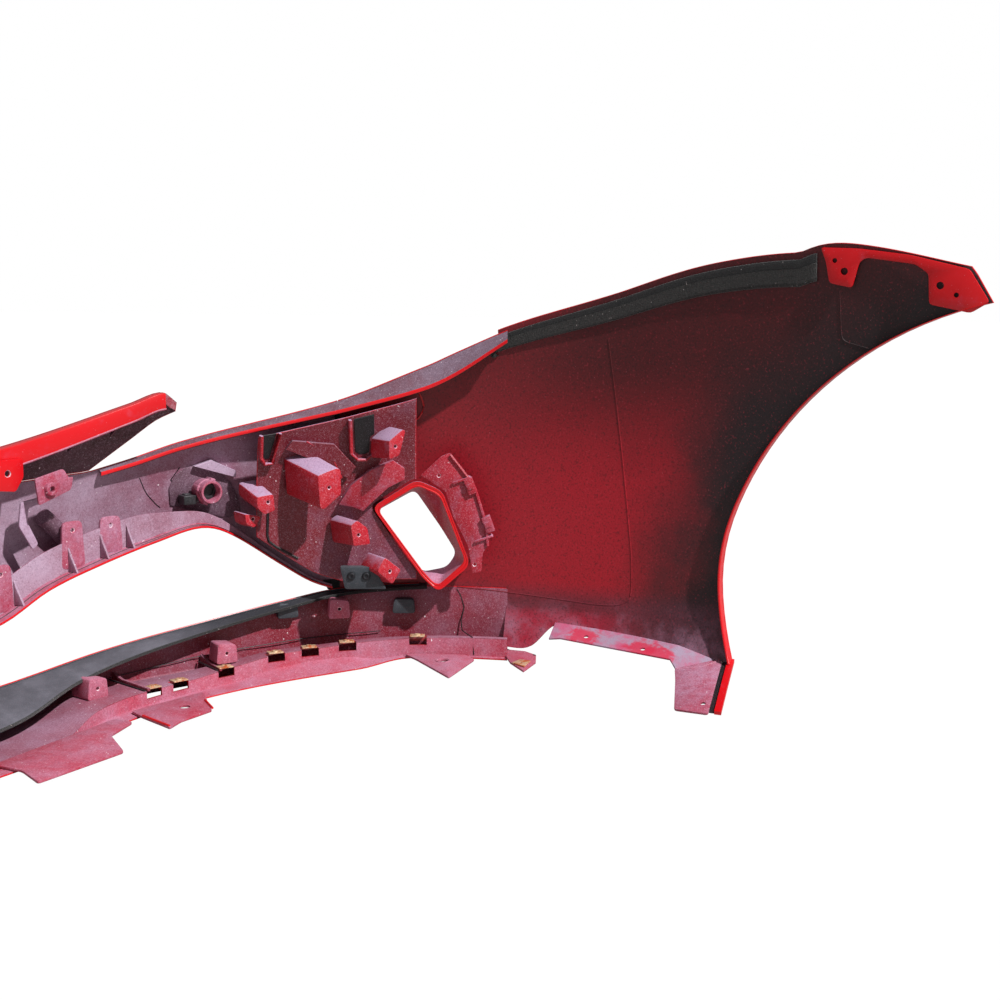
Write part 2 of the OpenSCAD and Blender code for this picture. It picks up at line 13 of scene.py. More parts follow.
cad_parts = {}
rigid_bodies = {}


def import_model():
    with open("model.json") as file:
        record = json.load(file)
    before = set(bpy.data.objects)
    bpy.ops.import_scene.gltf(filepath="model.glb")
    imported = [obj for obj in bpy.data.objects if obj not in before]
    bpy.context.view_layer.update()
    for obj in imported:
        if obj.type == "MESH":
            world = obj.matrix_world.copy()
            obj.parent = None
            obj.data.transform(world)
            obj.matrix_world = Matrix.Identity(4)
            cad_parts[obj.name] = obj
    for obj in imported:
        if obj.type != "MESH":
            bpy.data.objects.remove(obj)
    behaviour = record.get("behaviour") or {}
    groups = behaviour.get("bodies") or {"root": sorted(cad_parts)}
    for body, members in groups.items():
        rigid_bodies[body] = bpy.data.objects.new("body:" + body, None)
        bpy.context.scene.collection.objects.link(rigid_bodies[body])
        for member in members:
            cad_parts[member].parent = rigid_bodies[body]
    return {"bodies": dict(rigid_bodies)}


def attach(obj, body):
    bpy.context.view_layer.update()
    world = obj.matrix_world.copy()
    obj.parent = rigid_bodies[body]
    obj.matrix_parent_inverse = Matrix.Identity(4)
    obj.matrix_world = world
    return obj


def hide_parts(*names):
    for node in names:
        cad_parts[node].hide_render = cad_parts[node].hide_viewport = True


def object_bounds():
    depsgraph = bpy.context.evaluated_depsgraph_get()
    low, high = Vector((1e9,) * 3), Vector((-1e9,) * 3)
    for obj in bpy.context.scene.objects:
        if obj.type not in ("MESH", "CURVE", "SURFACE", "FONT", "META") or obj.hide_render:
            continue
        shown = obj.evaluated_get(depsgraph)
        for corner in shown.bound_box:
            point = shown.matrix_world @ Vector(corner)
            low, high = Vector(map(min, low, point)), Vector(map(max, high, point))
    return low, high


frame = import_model()
CAD_LOW, CAD_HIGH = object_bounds()
MM = 0.001
SCENE = bpy.context.scene

# ---------------------------------------------------------------- dimensions, as in the CAD frame (mm)
HALF_W = 955.0
NOSE_FWD = -CAD_LOW.y / MM
WIDE_Y = 300.0
POWER = 3.2
WALL = 3.0
GRIP = 0.3
NOSE_LEN = WIDE_Y + NOSE_FWD
CREASE_Z, TUCK_Z = 200.0, 120.0
TIP_Y, TIP_Z, TIP_TOP = NOSE_FWD, 502.0, (506.0, 544.0)
ARCH_R, ARCH_CY, ARCH_CZ, ARCH_LIP = 438.0, NOSE_FWD + 98.0, 75.0, 15.0
WING_START_Y, WING_START = -98.0, 0.8
NOSE_END, NOTCH, PRONG_END, RAIL_END = 0.578, 0.25, 0.351, 0.328
SENSOR_AT = 0.39
NUTS = (0.3, 0.338, 0.405, 0.48, 0.53, 0.585, 0.685)
CORNER_POINT = Vector((883.0, -218.0, 0.0))
CORNER_YAW = math.radians(63)
DUCT_DEPTH = 48.0
PLATE_Z = 5.0
REAR_TAB_Z = 20.3
TAB_T = 3.0
BORE, BOLT = 2.1, 3.5  # radii of a screw bore and a bolt hole
SENSOR_Z = 256.0
STAND = 0.58  # where the upright wall stands on the beam's shelf, as a share of its width
SIDES = (-1, 1)
CREASE = 35  # degrees between faces from which an edge is drawn sharp
CORNER = 2  # steps in a rounded corner

# Heights and widths along the cover: station, millimetres
BEAM_LOW = [(0, 104), (0.14, 138), (0.19, 167), (0.25, 187), (0.32, 205), (0.38, 216), (0.42, 203), (0.5, 149),
            (0.54, 124), (0.578, 110)]
TOP = [(0.25, 294), (0.3, 306), (0.36, 323), (0.575, 369), (0.695, 413), (0.742, 435), (0.812, 469),
       (0.91, 511), (0.977, 551), (1.03, 572), (1.09, 569), (1.206, 544)]
SHELF_DROP = [(0.25, 3), (0.5, 6), (0.6, 12), (0.69, 24), (0.742, 24), (0.82, 6)]
SHELF_DEEP = [(0.25, 8), (0.4, 14), (0.55, 21), (0.8, 21)]
SPLIT = [(0, 280), (0.15, 290), (0.25, 294)]
PRONG_LOW = [(0.25, 294), (0.3, 333), (0.326, 353), (0.351, 364)]
RAIL_TOP = [(0, 308), (0.147, 336), (0.289, 379), (0.328, 391), (0.351, 376)]
BLADE_TOP = [(0, 38), (0.15, 42), (0.262, 57), (0.388, 72), (0.5, 89), (0.578, 102), (0.7, 108)]
BLADE_WIDTH = [(0, 100), (0.14, 85), (0.22, 50), (0.37, 30), (0.578, 18), (0.7, 12)]
STEP = [(0, 139), (0.15, 139), (0.24, 98), (0.34, 76), (0.487, 56), (0.7, 46), (0.79, 44)]
FLANGE_WIDTH = [(0, 26), (0.5, 26), (0.6, 22), (0.67, 5), (0.79, 5)]
LEDGE = [(0, 5.5), (0.17, 5.5), (0.22, 20), (0.36, 22), (0.42, 27), (0.48, 34), (0.55, 37), (0.62, 42),
         (0.7, 45), (0.8, 46)]
BASE = [(0, 5), (0.45, 5), (0.6, 12), (0.66, 19.5), (0.7, 20), (0.8, 20)]
FOOT_RISE = [(0, 0), (0.38, 0), (0.42, 1), (0.48, 9), (0.585, 10), (0.63, 1), (0.66, 0), (0.8, 0)]
SHELF_WIDTH = [(0, 58), (0.38, 52), (0.45, 24), (0.578, 15)]
RIB_HEIGHT = [(0, 36), (0.29, 36), (0.37, 18), (0.45, 8), (0.57, 2)]
LEAN = [(0, 58), (0.36, 48), (0.6, 38), (0.8, 26), (1.25, 20)]
LEAN_TOP = [(0, 370), (0.36, 370), (0.6, 390), (0.8, 465), (1, 560), (1.25, 560)]
TUCK = [(0, 14), (0.6, 18), (0.8, 22), (1, 34), (1.25, 34)]
SILL = [(-98, 28), (-60, 30), (-28, 60), (60, 52), (209, 36)]
DUCT_SKIN = [(-2, 243), (-56, 213), (7, 128), (42, 135), (55, 155), (34, 190)]
DUCT_RIM = [(4, 254), (-50, 221), (14, 132), (30, 116), (68, 150), (34, 240)]


# ---------------------------------------------------------------- the CAD's lines
def curve(keys, x):
    """Smooth curve through a few keys, level beyond its ends."""
    i = 0
    while i + 2 < len(keys) and keys[i + 1][0] < x:
        i += 1
    (xa, ya), (xb, yb) = keys[i], keys[i + 1]

    def slope(k):
        a, b = keys[max(k - 1, 0)], keys[min(k + 1, len(keys) - 1)]
        return (b[1] - a[1]) / (b[0] - a[0])

    h = xb - xa
    s = min(1.0, max(0.0, (x - xa) / h))
    s2, s3 = s * s, s * s * s
    return (ya * (2 * s3 - 3 * s2 + 1) + yb * (3 * s2 - 2 * s3)
            + slope(i) * h * (s3 - 2 * s2 + s) + slope(i + 1) * h * (s3 - s2))


def lean(t, z):
    """How far the outer face leans in from the plan outline at a height."""
    u = abs(t)
    up = (z - CREASE_Z) / (curve(LEAN_TOP, u) - CREASE_Z)
    down = (TUCK_Z - z) / TUCK_Z
    return curve(LEAN, u) * max(0, up) ** 2 + curve(TUCK, u) * max(0, down) ** 2


def at(t, inset, z):
    """Point at a station along the plan outline, set in, at a height."""
    u = abs(t)
    s = math.sin(math.pi / 2 * u) ** (2 / POWER) if u < 1 else 1.0
    c = max(0.0, math.cos(math.pi / 2 * u)) ** (2 / POWER) if u < 1 else 0.0
    x = math.copysign((HALF_W - inset) * s, t) if t else 0.0
    return Vector((x, WIDE_Y + max(u - 1, 0) * 1000 - (NOSE_LEN - inset) * c, z))


def on_cover(t, z, depth=0.0):
    return at(t, lean(t, z) + depth, z)


def station_of(y):
    if y < WIDE_Y:
        return math.acos(((WIDE_Y - y) / NOSE_LEN) ** (POWER / 2)) / (math.pi / 2)
    return 1 + (y - WIDE_Y) / 1000


def on_wing(y, z, depth=0.0):
    inset = lean(station_of(y), z) + depth
    back = max(0.0, (WIDE_Y - y) / (NOSE_LEN - inset))
    return Vector(((HALF_W - inset) * (1 - back ** POWER) ** (1 / POWER), y, z))


def wing_top(s):
    if s < 0.94:
        y = WING_START_Y + (TIP_TOP[0] - WING_START_Y) * s / 0.94
        return Vector((y, curve(TOP, station_of(y))))
    return Vector(TIP_TOP).lerp(Vector((TIP_Y, TIP_Z)), (s - 0.94) / 0.06)


def wing_rear(v):
    low, high = (math.asin((z - ARCH_CZ) / ARCH_R) for z in (36, TIP_Z))
    z = ARCH_CZ + ARCH_R * math.sin(low + (high - low) * v)
    return Vector((ARCH_CY - math.sqrt(ARCH_R ** 2 - (z - ARCH_CZ) ** 2) + 0.000775 * max(0, 240 - z) ** 2, z))


def wing_sill(s):
    y = WING_START_Y + (wing_rear(0).x - WING_START_Y) * s
    return Vector((y, curve(SILL, y)))


def wing_point(s, v):
    """Side view point of the wing: a patch between its sill, top, front and rear edges."""
    front = wing_sill(0).lerp(wing_top(0), v)
    corners = (wing_sill(0) * (1 - s) * (1 - v) + wing_rear(0) * s * (1 - v)
               + wing_top(0) * (1 - s) * v + Vector((TIP_Y, TIP_Z)) * s * v)
    return wing_sill(s) * (1 - v) + wing_top(s) * v + front * (1 - s) + wing_rear(v) * s - corners


def steps(a, b, n):
    return [a + (b - a) * i / n for i in range(n + 1)]


# ---------------------------------------------------------------- local frames
def move(x, y, z):
    return Matrix.Translation((x, y, z))


def turn(degrees, axis):
    return Matrix.Rotation(math.radians(degrees), 4, axis)


def box(x, y, far_x, far_y):
    return [(x, y), (far_x, y), (far_x, far_y), (x, far_y)]


def axes(x, y, z, origin):
    m = Matrix((x, y, z)).transposed().to_4x4()
    m.translation = origin
    return m


def on_plan(t, inset, z):
    """x along the cover, y into the car, z up."""
    along = at(t + 0.004, inset, z) - at(t - 0.004, inset, z)
    along.normalize()
    return axes(along, Vector((-along.y, along.x, 0)), Vector((0, 0, 1)), at(t, inset, z))


def facing_in(t, inset, z):
    """x along the cover, y up, z outwards from the car."""
    return on_plan(t, inset, z) @ turn(90, "X")


def at_corner(depth):
    """x rearwards along the skin, y up, z outwards, at a depth inside the front corner."""
    c, s = math.cos(CORNER_YAW), math.sin(CORNER_YAW)
    out = Vector((s, -c, 0))
    return axes(Vector((c, s, 0)), Vector((0, 0, 1)), out, CORNER_POINT - out * depth)


# ---------------------------------------------------------------- meshes
def link(mesh, name="part"):
    obj = bpy.data.objects.new(name, mesh)
    SCENE.collection.objects.link(obj)
    return obj


def to_object(bm, mats, sharp=CREASE):
    mesh = bpy.data.meshes.new("part")
    bm.to_mesh(mesh)
    bm.free()
    for m in mats:
        mesh.materials.append(m)
    mesh.polygons.foreach_set("use_smooth", [True] * len(mesh.polygons))
    mesh.set_sharp_from_angle(angle=math.radians(sharp))
    return link(mesh)


def from_bmesh(bm, mats, place=Matrix(), sharp=CREASE):
    """Object in metres from a bmesh in millimetres, placed by a frame."""
    bm.transform(place)
    bmesh.ops.recalc_face_normals(bm, faces=bm.faces)
    bm.transform(Matrix.Scale(MM, 4))
    return to_object(bm, mats, sharp)


def make_mesh(points, faces, mats, index, sharp=CREASE):
    bm = bmesh.new()
    verts = [bm.verts.new(p) for p in points]
    for f, material in zip(faces, index):
        bm.faces.new([verts[i] for i in f]).material_index = material
    return from_bmesh(bm, mats, sharp=sharp)


def quads(low, high):
    """Faces between two closed loops."""
    return list(zip(low, low[1:] + low[:1], high[1:] + high[:1], high))


def shell(outer, inner, mats, free):
    """Closed thin wall between two grids. Its edges are rounded where free says so, and square where it meets
    the next piece. mats are the outside, the inside and the edge; free holds any of start, end, low, high."""
    n, m = len(outer), len(outer[0])
    size, rounding = n * m, 1.2
    loop = ([(i, 0) for i in range(n)] + [(n - 1, j) for j in range(1, m)]
            + [(i, m - 1) for i in range(n - 2, -1, -1)] + [(0, j) for j in range(m - 2, 0, -1)])
    tips = {}
    for i, j in loop:
        edges = {"start": i == 0, "end": i == n - 1, "low": j == 0, "high": j == m - 1}
        if any(edges[name] for name in free):
            near = outer[min(max(i, 1), n - 2)][min(max(j, 1), m - 2)]
            tips[i, j] = (outer[i][j] - near).normalized()
    for (i, j), away in tips.items():
        for side in (outer, inner):
            side[i][j] = side[i][j] - away * rounding
    points = [p for c in outer + inner for p in c]
    faces, index = [], []
    for i in range(n - 1):
        for j in range(m - 1):
            a = i * m + j
            quad = (a, a + 1, a + m + 1, a + m)
            faces += [quad, tuple(size + k for k in reversed(quad))]
            index += [0, 1]
    rows = [[i * m + j for i, j in loop]]
    for angle in (math.pi / 4, math.pi / 2, 3 * math.pi / 4):
        rows.append(list(range(len(points), len(points) + len(loop))))
        for i, j in loop:
            mid, half = (outer[i][j] + inner[i][j]) / 2, (outer[i][j] - inner[i][j]) / 2
            p = mid + half * math.cos(angle)
            if (i, j) in tips:
                p += tips[i, j] * rounding * math.sin(angle)
            points.append(p)
    rows.append([size + k for k in rows[0]])
    rim = [face for a, b in zip(rows, rows[1:]) for face in quads(a, b)]
    return make_mesh(points, faces + rim, mats, index + [2] * len(rim))


def bend(start, p, end, n):
    """Rounded corner at p from start to end, in n steps."""
    shares = [k / n for k in range(n + 1)]
    return [start * (1 - k) ** 2 + p * (2 * k * (1 - k)) + end * k ** 2 for k in shares]


def soften(points, length, n=CORNER):
    """Outline with its corners rounded over a length."""
    out, count = [], len(points)
    for i in range(count):
        p = Vector(points[i])
        a, b = Vector(points[i - 1]) - p, Vector(points[(i + 1) % count]) - p
        start, end = (p + side.normalized() * min(length, side.length * 0.45) for side in (a, b))
        out += bend(start, p, end, n)
    return out


def loft(rings, mats, closed=False, index=lambda i, j: 0, cap=0, sharp=CREASE):
    """Skin over rings of points; index(i, j) is the material of side j after ring i."""
    m = len(rings[0])
    rows = [list(range(i * m, i * m + m)) for i in range(len(rings))]
    faces = [face for a, b in zip(rows, rows[1:] + rows[:closed]) for face in quads(a, b)]
    marks = [index(*divmod(k, m)) for k in range(len(faces))]
    if not closed:
        faces += [rows[0][::-1], rows[-1]]
        marks += [cap, cap]
    return make_mesh([p for ring in rings for p in ring], faces, mats, marks, sharp)


def sweep(stations, section, mats, paint, rounding=0.9):
    """Bar along the plan outline. section(t) gives its [inset, height] corners, and paint the material of each
    side; the ends have the last material."""
    rings = [[at(t, p.x, p.y) for p in soften(section(abs(t)), rounding)] for t in stations]
    return loft(rings, mats, index=lambda i, j: paint[j // (CORNER + 1)], cap=len(mats) - 1, sharp=40)


def middle(points):
    return sum((Vector(p) for p in points), Vector((0, 0))) / len(points)


def circle(x, y, r, n=20):
    angles = (2 * math.pi * i / n for i in range(n))
    return [Vector((x + r * math.cos(a), y + r * math.sin(a))) for a in angles]


def block(outline, reach, place, mats, bores=(), shift=(0, 0), grow=1.0, bevel=1.0):
    """Prism from z 0 to reach with rounded edges, its far end shifted and grown. Each bore is x, y, r, depth
    with a rim in the second material; one without a depth goes through the block."""
    bm = bmesh.new()
    outline = [Vector(p) for p in outline]
    mid = middle(outline)
    far = [mid + (p - mid) * grow + Vector(shift) for p in outline]
    chamfer, corner = 0.8, 0.5  # millimetres, radians

    def lay(points, z):
        return [bm.verts.new((p[0], p[1], z)) for p in points]

    def edges_of(verts):
        return [bm.edges.get(ends) or bm.edges.new(ends) for ends in zip(verts, verts[1:] + verts[:1])]

    def walls(low, high, material=0):
        for face in quads(low, high):
            bm.faces.new(face).material_index = material

    near, back = lay(outline, 0), lay(far, reach)
    near_loops, back_loops = [near], [back]
    for x, y, r, *depth in bores:
        rim, mouth = lay(circle(x, y, r + chamfer), 0), lay(circle(x, y, r), min(chamfer, reach / 3))
        end = lay(circle(x, y, r), depth[0] if depth else reach)
        near_loops.append(rim)
        walls(rim, mouth, 1)
        walls(mouth, end)
        if depth:
            bm.faces.new(end)
        else:
            back_loops.append(end)
    for loops in (near_loops, back_loops):
        bmesh.ops.triangle_fill(bm, use_beauty=True, edges=[e for loop in loops for e in edges_of(loop)])
    walls(near, back)
    sharp = edges_of(near) + edges_of(back)
    for k, p in enumerate(outline):
        a, b = p - outline[k - 1], outline[(k + 1) % len(outline)] - p
        if abs(a.angle_signed(b, 0)) > corner:
            sharp.append(bm.edges.get((near[k], back[k])))
    bmesh.ops.recalc_face_normals(bm, faces=bm.faces)
    if bevel:
        bmesh.ops.bevel(bm, geom=sharp, offset=bevel, segments=2, profile=0.5, affect="EDGES",
                        clamp_overlap=True)
    return from_bmesh(bm, mats, place)


def lathe(profile, place, mats, n=40):
    """Closed ring or solid turned about z from [radius, z] points; a radius of 0 closes the middle."""
    bm = bmesh.new()
    columns = []
    for r, z in profile:
        if r:
            columns.append([bm.verts.new((p.x, p.y, z)) for p in circle(0, 0, r, n)])
        else:
            columns.append([bm.verts.new((0, 0, z))] * n)
    hollow = profile[0][0] > 0
    for a, b in zip(columns, columns[1:] + columns[:hollow]):
        for face in quads(a, b):
            face = list(dict.fromkeys(face))
            if len(face) > 2:
                bm.faces.new(face)
    return from_bmesh(bm, mats, place)


def bead(path, radius, mats, sides=6):
    """Thin raised or dark line along points in the CAD frame."""
    rings = []
    for i, p in enumerate(path):
        along = (path[min(i + 1, len(path) - 1)] - path[max(i - 1, 0)]).normalized()
        side = along.cross(Vector((0, 0, 1)) if abs(along.z) < 0.9 else Vector((0, 1, 0))).normalized()
        up = side.cross(along)
        rings.append([p + (side * math.cos(a) + up * math.sin(a)) * radius
                      for a in (2 * math.pi * k / sides for k in range(sides))])
    return loft(rings, mats, sharp=180)


def cut(obj, cutters):
    """Takes closed cutter meshes out of obj, and applies the result."""
    for c in cutters:
        modifier = obj.modifiers.new("cut", "BOOLEAN")
        modifier.operation, modifier.solver, modifier.object = "DIFFERENCE", "EXACT", c
    mesh = bpy.data.meshes.new_from_object(obj.evaluated_get(bpy.context.evaluated_depsgraph_get()))
    obj.modifiers.clear()
    obj.data = mesh
    for c in cutters:
        bpy.data.objects.remove(c)
    mesh.set_sharp_from_angle(angle=math.radians(CREASE))
    return obj


def join(objects):
    """One object of several closed meshes, keeping each material."""
    bm = bmesh.new()
    mats = list(dict.fromkeys(m for o in objects for m in o.data.materials))
    for o in objects:
        part = o.data.copy()
        for p in part.polygons:
            p.material_index = mats.index(o.data.materials[p.material_index])
        bm.from_mesh(part)
        bpy.data.objects.remove(o)
    return to_object(bm, mats)


def own(obj, name, slot, *nodes):
    """The piece rides on the cover and stands for CAD nodes; slot is not used."""
    obj.name = name
    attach(obj, "root" if "root" in frame["bodies"] else next(iter(frame["bodies"])))
    if nodes:
        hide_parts(*nodes)


def whole(node, parts, slot="dusty_cover"):
    """One piece across the car, for a CAD node."""
    own(join(parts), node + "_look", slot, node)


def both(node, parts, slot="dusty_cover", name=None):
    """A left piece and its mirror image on the right; node is the CAD name without its side."""
    left = join(parts) if isinstance(parts, list) else parts
    mirrored = left.data.copy()
    mirrored.transform(Matrix.Diagonal((-1, 1, 1, 1)))
    mirrored.flip_normals()
    own(left, (name or node) + "_look_left", slot, node + "_left")
    own(link(mirrored), (name or node) + "_look_right", slot, node + "_right")


# ---------------------------------------------------------------- materials
def rgb(r, g, b):
    """Linear colour from display values of 0 to 255."""
    return (*((v / 3294.6 if v <= 10 else ((v / 255 + 0.055) / 1.055) ** 2.4) for v in (r, g, b)), 1.0)


def darker(color, share):
    return tuple(c * share for c in color[:3]) + (1,)


class Tree:
    """Node material: inputs are values or sockets, and each call gives a socket."""

    def __init__(self, name, **fixed):
        self.mat = bpy.data.materials.new(name)
        self.mat.use_nodes = True
        self.nodes, self.links = self.mat.node_tree.nodes, self.mat.node_tree.links
        self.shader = self.nodes["Principled BSDF"]
        for socket, value in fixed.items():
            self.shader.inputs[socket.replace("_", " ").title()].default_value = value
        self.place = self.add("TexCoord", {}, "Object")
        self.up = self.add("SeparateXYZ", {0: self.add("NewGeometry", {}, "Normal")}, "Z")

    def add(self, kind, inputs, out=0, **settings):
        node = self.nodes.new("ShaderNode" + kind)
        for key, value in settings.items():
            setattr(node, key, value)
        for key, value in inputs.items():
            self.feed(node.inputs[key], value)
        return node.outputs[out]

    def feed(self, socket, value):
        if isinstance(value, bpy.types.NodeSocket):
            self.links.new(value, socket)
        else:
            socket.default_value = value

    def noise(self, scale, detail=3.0, rough=0.55, stretch=(1, 1, 1)):
        place = self.add("VectorMath", {0: self.place, 1: stretch}, operation="MULTIPLY")
        return self.add("TexNoise", {"Vector": place, "Scale": scale, "Detail": detail, "Roughness": rough})

    def band(self, value, low, high, start=0.0, end=1.0):
        ends = {"Value": value, "From Min": low, "From Max": high, "To Min": start, "To Max": end}
        return self.add("MapRange", ends, interpolation_type="SMOOTHSTEP")

    def axis(self, name):
        return self.add("SeparateXYZ", {0: self.place}, name)

    def times(self, a, b):
        return self.add("Math", {0: a, 1: b}, operation="MULTIPLY")

    def plus(self, a, b, clamp=False):
        return self.add("Math", {0: a, 1: b}, operation="ADD", use_clamp=clamp)

    def mix(self, factor, a, b):
        return self.add("Mix", {0: factor, 6: a, 7: b}, 2, data_type="RGBA")

    def fleck(self, color, value, low, high, share, *paint):
        """A paint over the colour at a share, where the value goes from low to high."""
        mask = self.band(value, low, high)
        return self.mix(self.times(mask, share) if share < 1 else mask, color, rgb(*paint))

    def finish(self, color, rough=None, height=None, strength=0.3, distance=0.0006):
        self.feed(self.shader.inputs["Base Color"], color)
        if rough is not None:
            self.feed(self.shader.inputs["Roughness"], rough)
        if height is not None:
            bump = self.add("Bump", {"Strength": strength, "Distance": distance, "Height": height})
            self.feed(self.shader.inputs["Normal"], bump)
        return self.mat


def gloss_paint():
    """Red paint on the outside: slight orange peel, road haze low down and a few stone chips."""
    t = Tree("cover_paint", Coat_Weight=0.8, Coat_Roughness=0.08, Metallic=0.0)
    red = t.mix(t.noise(5), rgb(176, 10, 24), rgb(196, 14, 30))
    height = t.axis("Z")
    haze = t.times(t.band(height, 0.16, 0.0), t.band(t.noise(22, 5), 0.4, 0.75))
    haze = t.times(haze, 0.55)
    chips = t.band(t.noise(330, 2), 0.735, 0.76)
    color = t.mix(chips, t.mix(haze, red, rgb(150, 128, 126)), rgb(58, 52, 54))
    return t.finish(color, t.band(t.noise(14, 4), 0.3, 0.8, 0.24, 0.42), t.noise(420, 1), 0.06, 0.0004)


def bright_edge():
    """Bright paint on folded edges, scuffed to pink in places."""
    t = Tree("bright_edge_paint", Coat_Weight=0.1, Coat_Roughness=0.3)
    scuff = t.times(t.band(t.noise(34, 6, 0.65), 0.56, 0.8), 0.5)
    color = t.mix(scuff, t.mix(t.noise(9), rgb(206, 0, 14), rgb(226, 4, 20)), rgb(206, 60, 86))
    color = t.fleck(color, t.noise(600, 2), 0.7, 0.76, 1, 230, 130, 146)
    return t.finish(color, t.band(scuff, 0, 0.6, 0.36, 0.62), t.noise(700, 2), 0.12)


def overspray(name, red, dust, amount, up, patches=9.0, low=0.0):
    """Unpolished inside: crimson overspray under pale dust that settles on upward faces, in patches."""
    t = Tree(name)
    patch = t.band(t.noise(patches, 5, 0.6), 0.3, 0.7, -0.5, 0.5)
    fine = t.band(t.noise(patches * 7, 5, 0.7), 0.3, 0.7, -0.5, 0.5)
    settled = t.band(t.up, low, 0.9, 0.0, up)
    cloud = t.plus(t.times(patch, 0.5), t.times(fine, 0.3))
    cloud = t.plus(cloud, settled)
    mask = t.plus(cloud, amount, True)
    grain = t.noise(1100, 2, 0.8)
    color = t.mix(mask, t.mix(t.noise(24), red, darker(red, 0.72)), dust)
    color = t.fleck(color, grain, 0.56, 0.7, 0.32, 235, 214, 226)
    color = t.fleck(color, grain, 0.44, 0.3, 0.4, 44, 14, 24)
    sand = t.noise(430, 1)
    color = t.fleck(color, sand, 0.54, 0.74, 0.15, 224, 196, 214)
    color = t.fleck(color, sand, 0.46, 0.28, 0.24, 48, 14, 26)
    color = t.fleck(color, t.noise(260, 2), 0.72, 0.76, 1, 238, 226, 232)
    return t.finish(color, t.band(mask, 0, 1, 0.46, 0.82), grain, 0.3)


def wing_inside():
    """Thin overspray inside the wing: bare black at the arch, crimson ahead of it, darker near the top as
    painted shade, and lighter low at the front as painted light.
    """
    t = Tree("wing_overspray")
    y, z = (t.axis(k) for k in "YZ")
    dy, dz = (t.add("Math", {0: a, 1: b * MM}, operation="SUBTRACT") for a, b in ((y, ARCH_CY), (z, ARCH_CZ)))
    away = t.add("VectorMath", {0: t.add("CombineXYZ", {0: 0.0, 1: dy, 2: dz})}, "Value", operation="LENGTH")
    cloud = t.band(t.noise(6, 5, 0.6), 0.3, 0.7, -0.025, 0.025)
    away = t.plus(away, cloud)
    sprayed = t.band(away, (ARCH_R + 8) * MM, (ARCH_R + 150) * MM)
    # painted shade: the red turns dark towards the top of the wing, for the shadow of its top edge
    red = t.mix(t.band(z, 0.25, 0.43), rgb(176, 16, 36), rgb(82, 12, 18))
    red = t.fleck(red, y, 0.06, -0.16, 0.55, 150, 22, 36)
    red = t.fleck(red, t.noise(5, 5, 0.65), 0.45, 0.7, 0.35, 112, 16, 28)
    color = t.mix(sprayed, rgb(36, 24, 27), red)
    color = t.fleck(color, z, 0.125, 0.09, 0.75, 84, 40, 52)
    lit = t.times(t.band(z, 0.088, 0.07), t.band(y, 0.1, 0.0))
    color = t.mix(lit, color, rgb(164, 26, 52))
    dust = t.times(t.band(z, 0.11, 0.06), t.band(t.noise(14, 5, 0.65), 0.4, 0.72))
    color = t.mix(t.times(dust, 0.7), color, rgb(176, 132, 156))
    scuff = t.times(t.band(t.noise(16, 6, 0.7, (1, 1, 2.5)), 0.58, 0.82), 0.3)
    color = t.mix(t.times(scuff, sprayed), color, rgb(196, 40, 60))
    color = t.fleck(color, t.noise(520, 1), 0.77, 0.8, 0.5, 190, 120, 128)
    sand = t.noise(380, 1)
    color = t.fleck(color, sand, 0.47, 0.28, 0.45, 24, 8, 12)
    color = t.fleck(color, sand, 0.6, 0.78, 0.25, 206, 60, 78)
    grain = t.noise(900, 2)
    color = t.fleck(color, grain, 0.45, 0.3, 0.3, 14, 6, 8)
    return t.finish(color, t.band(t.noise(11, 4), 0.3, 0.75, 0.42, 0.62), grain, 0.16)


def sill_paint():
    """Pink sill flange: rubbed red around its two bores, with a grey streak of dust between them."""
    t = Tree("sill_overspray")
    x, y, z = (t.axis(k) for k in "XYZ")
    place = t.add("CombineXYZ", {0: t.add("Math", {0: x}, operation="ABSOLUTE"), 1: y, 2: z})
    cloud = t.band(t.noise(60, 4, 0.65), 0.3, 0.7, -0.006, 0.006)
    color = t.mix(t.band(t.noise(30, 5, 0.65), 0.35, 0.65), rgb(186, 84, 118), rgb(160, 138, 160))
    for hole in ((0.915, 0.022, 0.053), (0.914, 0.106, 0.045), (0.908, 0.128, 0.04)):
        gap = t.add("VectorMath", {0: place, 1: hole}, "Value", operation="DISTANCE")
        gap = t.plus(gap, cloud)
        color = t.fleck(color, gap, 0.026, 0.015, 0.85, 196, 32, 66)
    grain = t.noise(1100, 2, 0.8)
    color = t.fleck(color, grain, 0.44, 0.3, 0.4, 60, 20, 34)
    return t.finish(color, 0.7, grain, 0.3)


def black_plastic(name, base, dust, amount, up, rough=0.5, away=0.0):
    """Moulded black plastic: fine grain, scratches, and dust that thins out sideways when away is set."""
    t = Tree(name)
    scratch = t.band(t.noise(60, 4, 0.7, (1, 1, 5)), 0.6, 0.8, 0, 0.2)
    mask = t.plus(t.band(t.up, 0.2, 0.95, 0.0, up), t.band(t.noise(20, 6, 0.7), 0.35, 0.72, 0.0, amount), True)
    if away:
        side_on = t.add("Math", {0: t.axis("X")}, operation="ABSOLUTE")
        mask = t.times(mask, t.band(side_on, away * 0.8, away, 1.0, 0.12))
    grain = t.noise(1300, 2)
    dusty = t.plus(mask, scratch, True)
    color = t.mix(dusty, t.mix(t.noise(40), base, darker(base, 0.6)), dust)
    color = t.fleck(color, grain, 0.58, 0.72, 0.3, 168, 164, 172)
    return t.finish(color, t.band(mask, 0, 1, rough, 0.85), grain, 0.25)


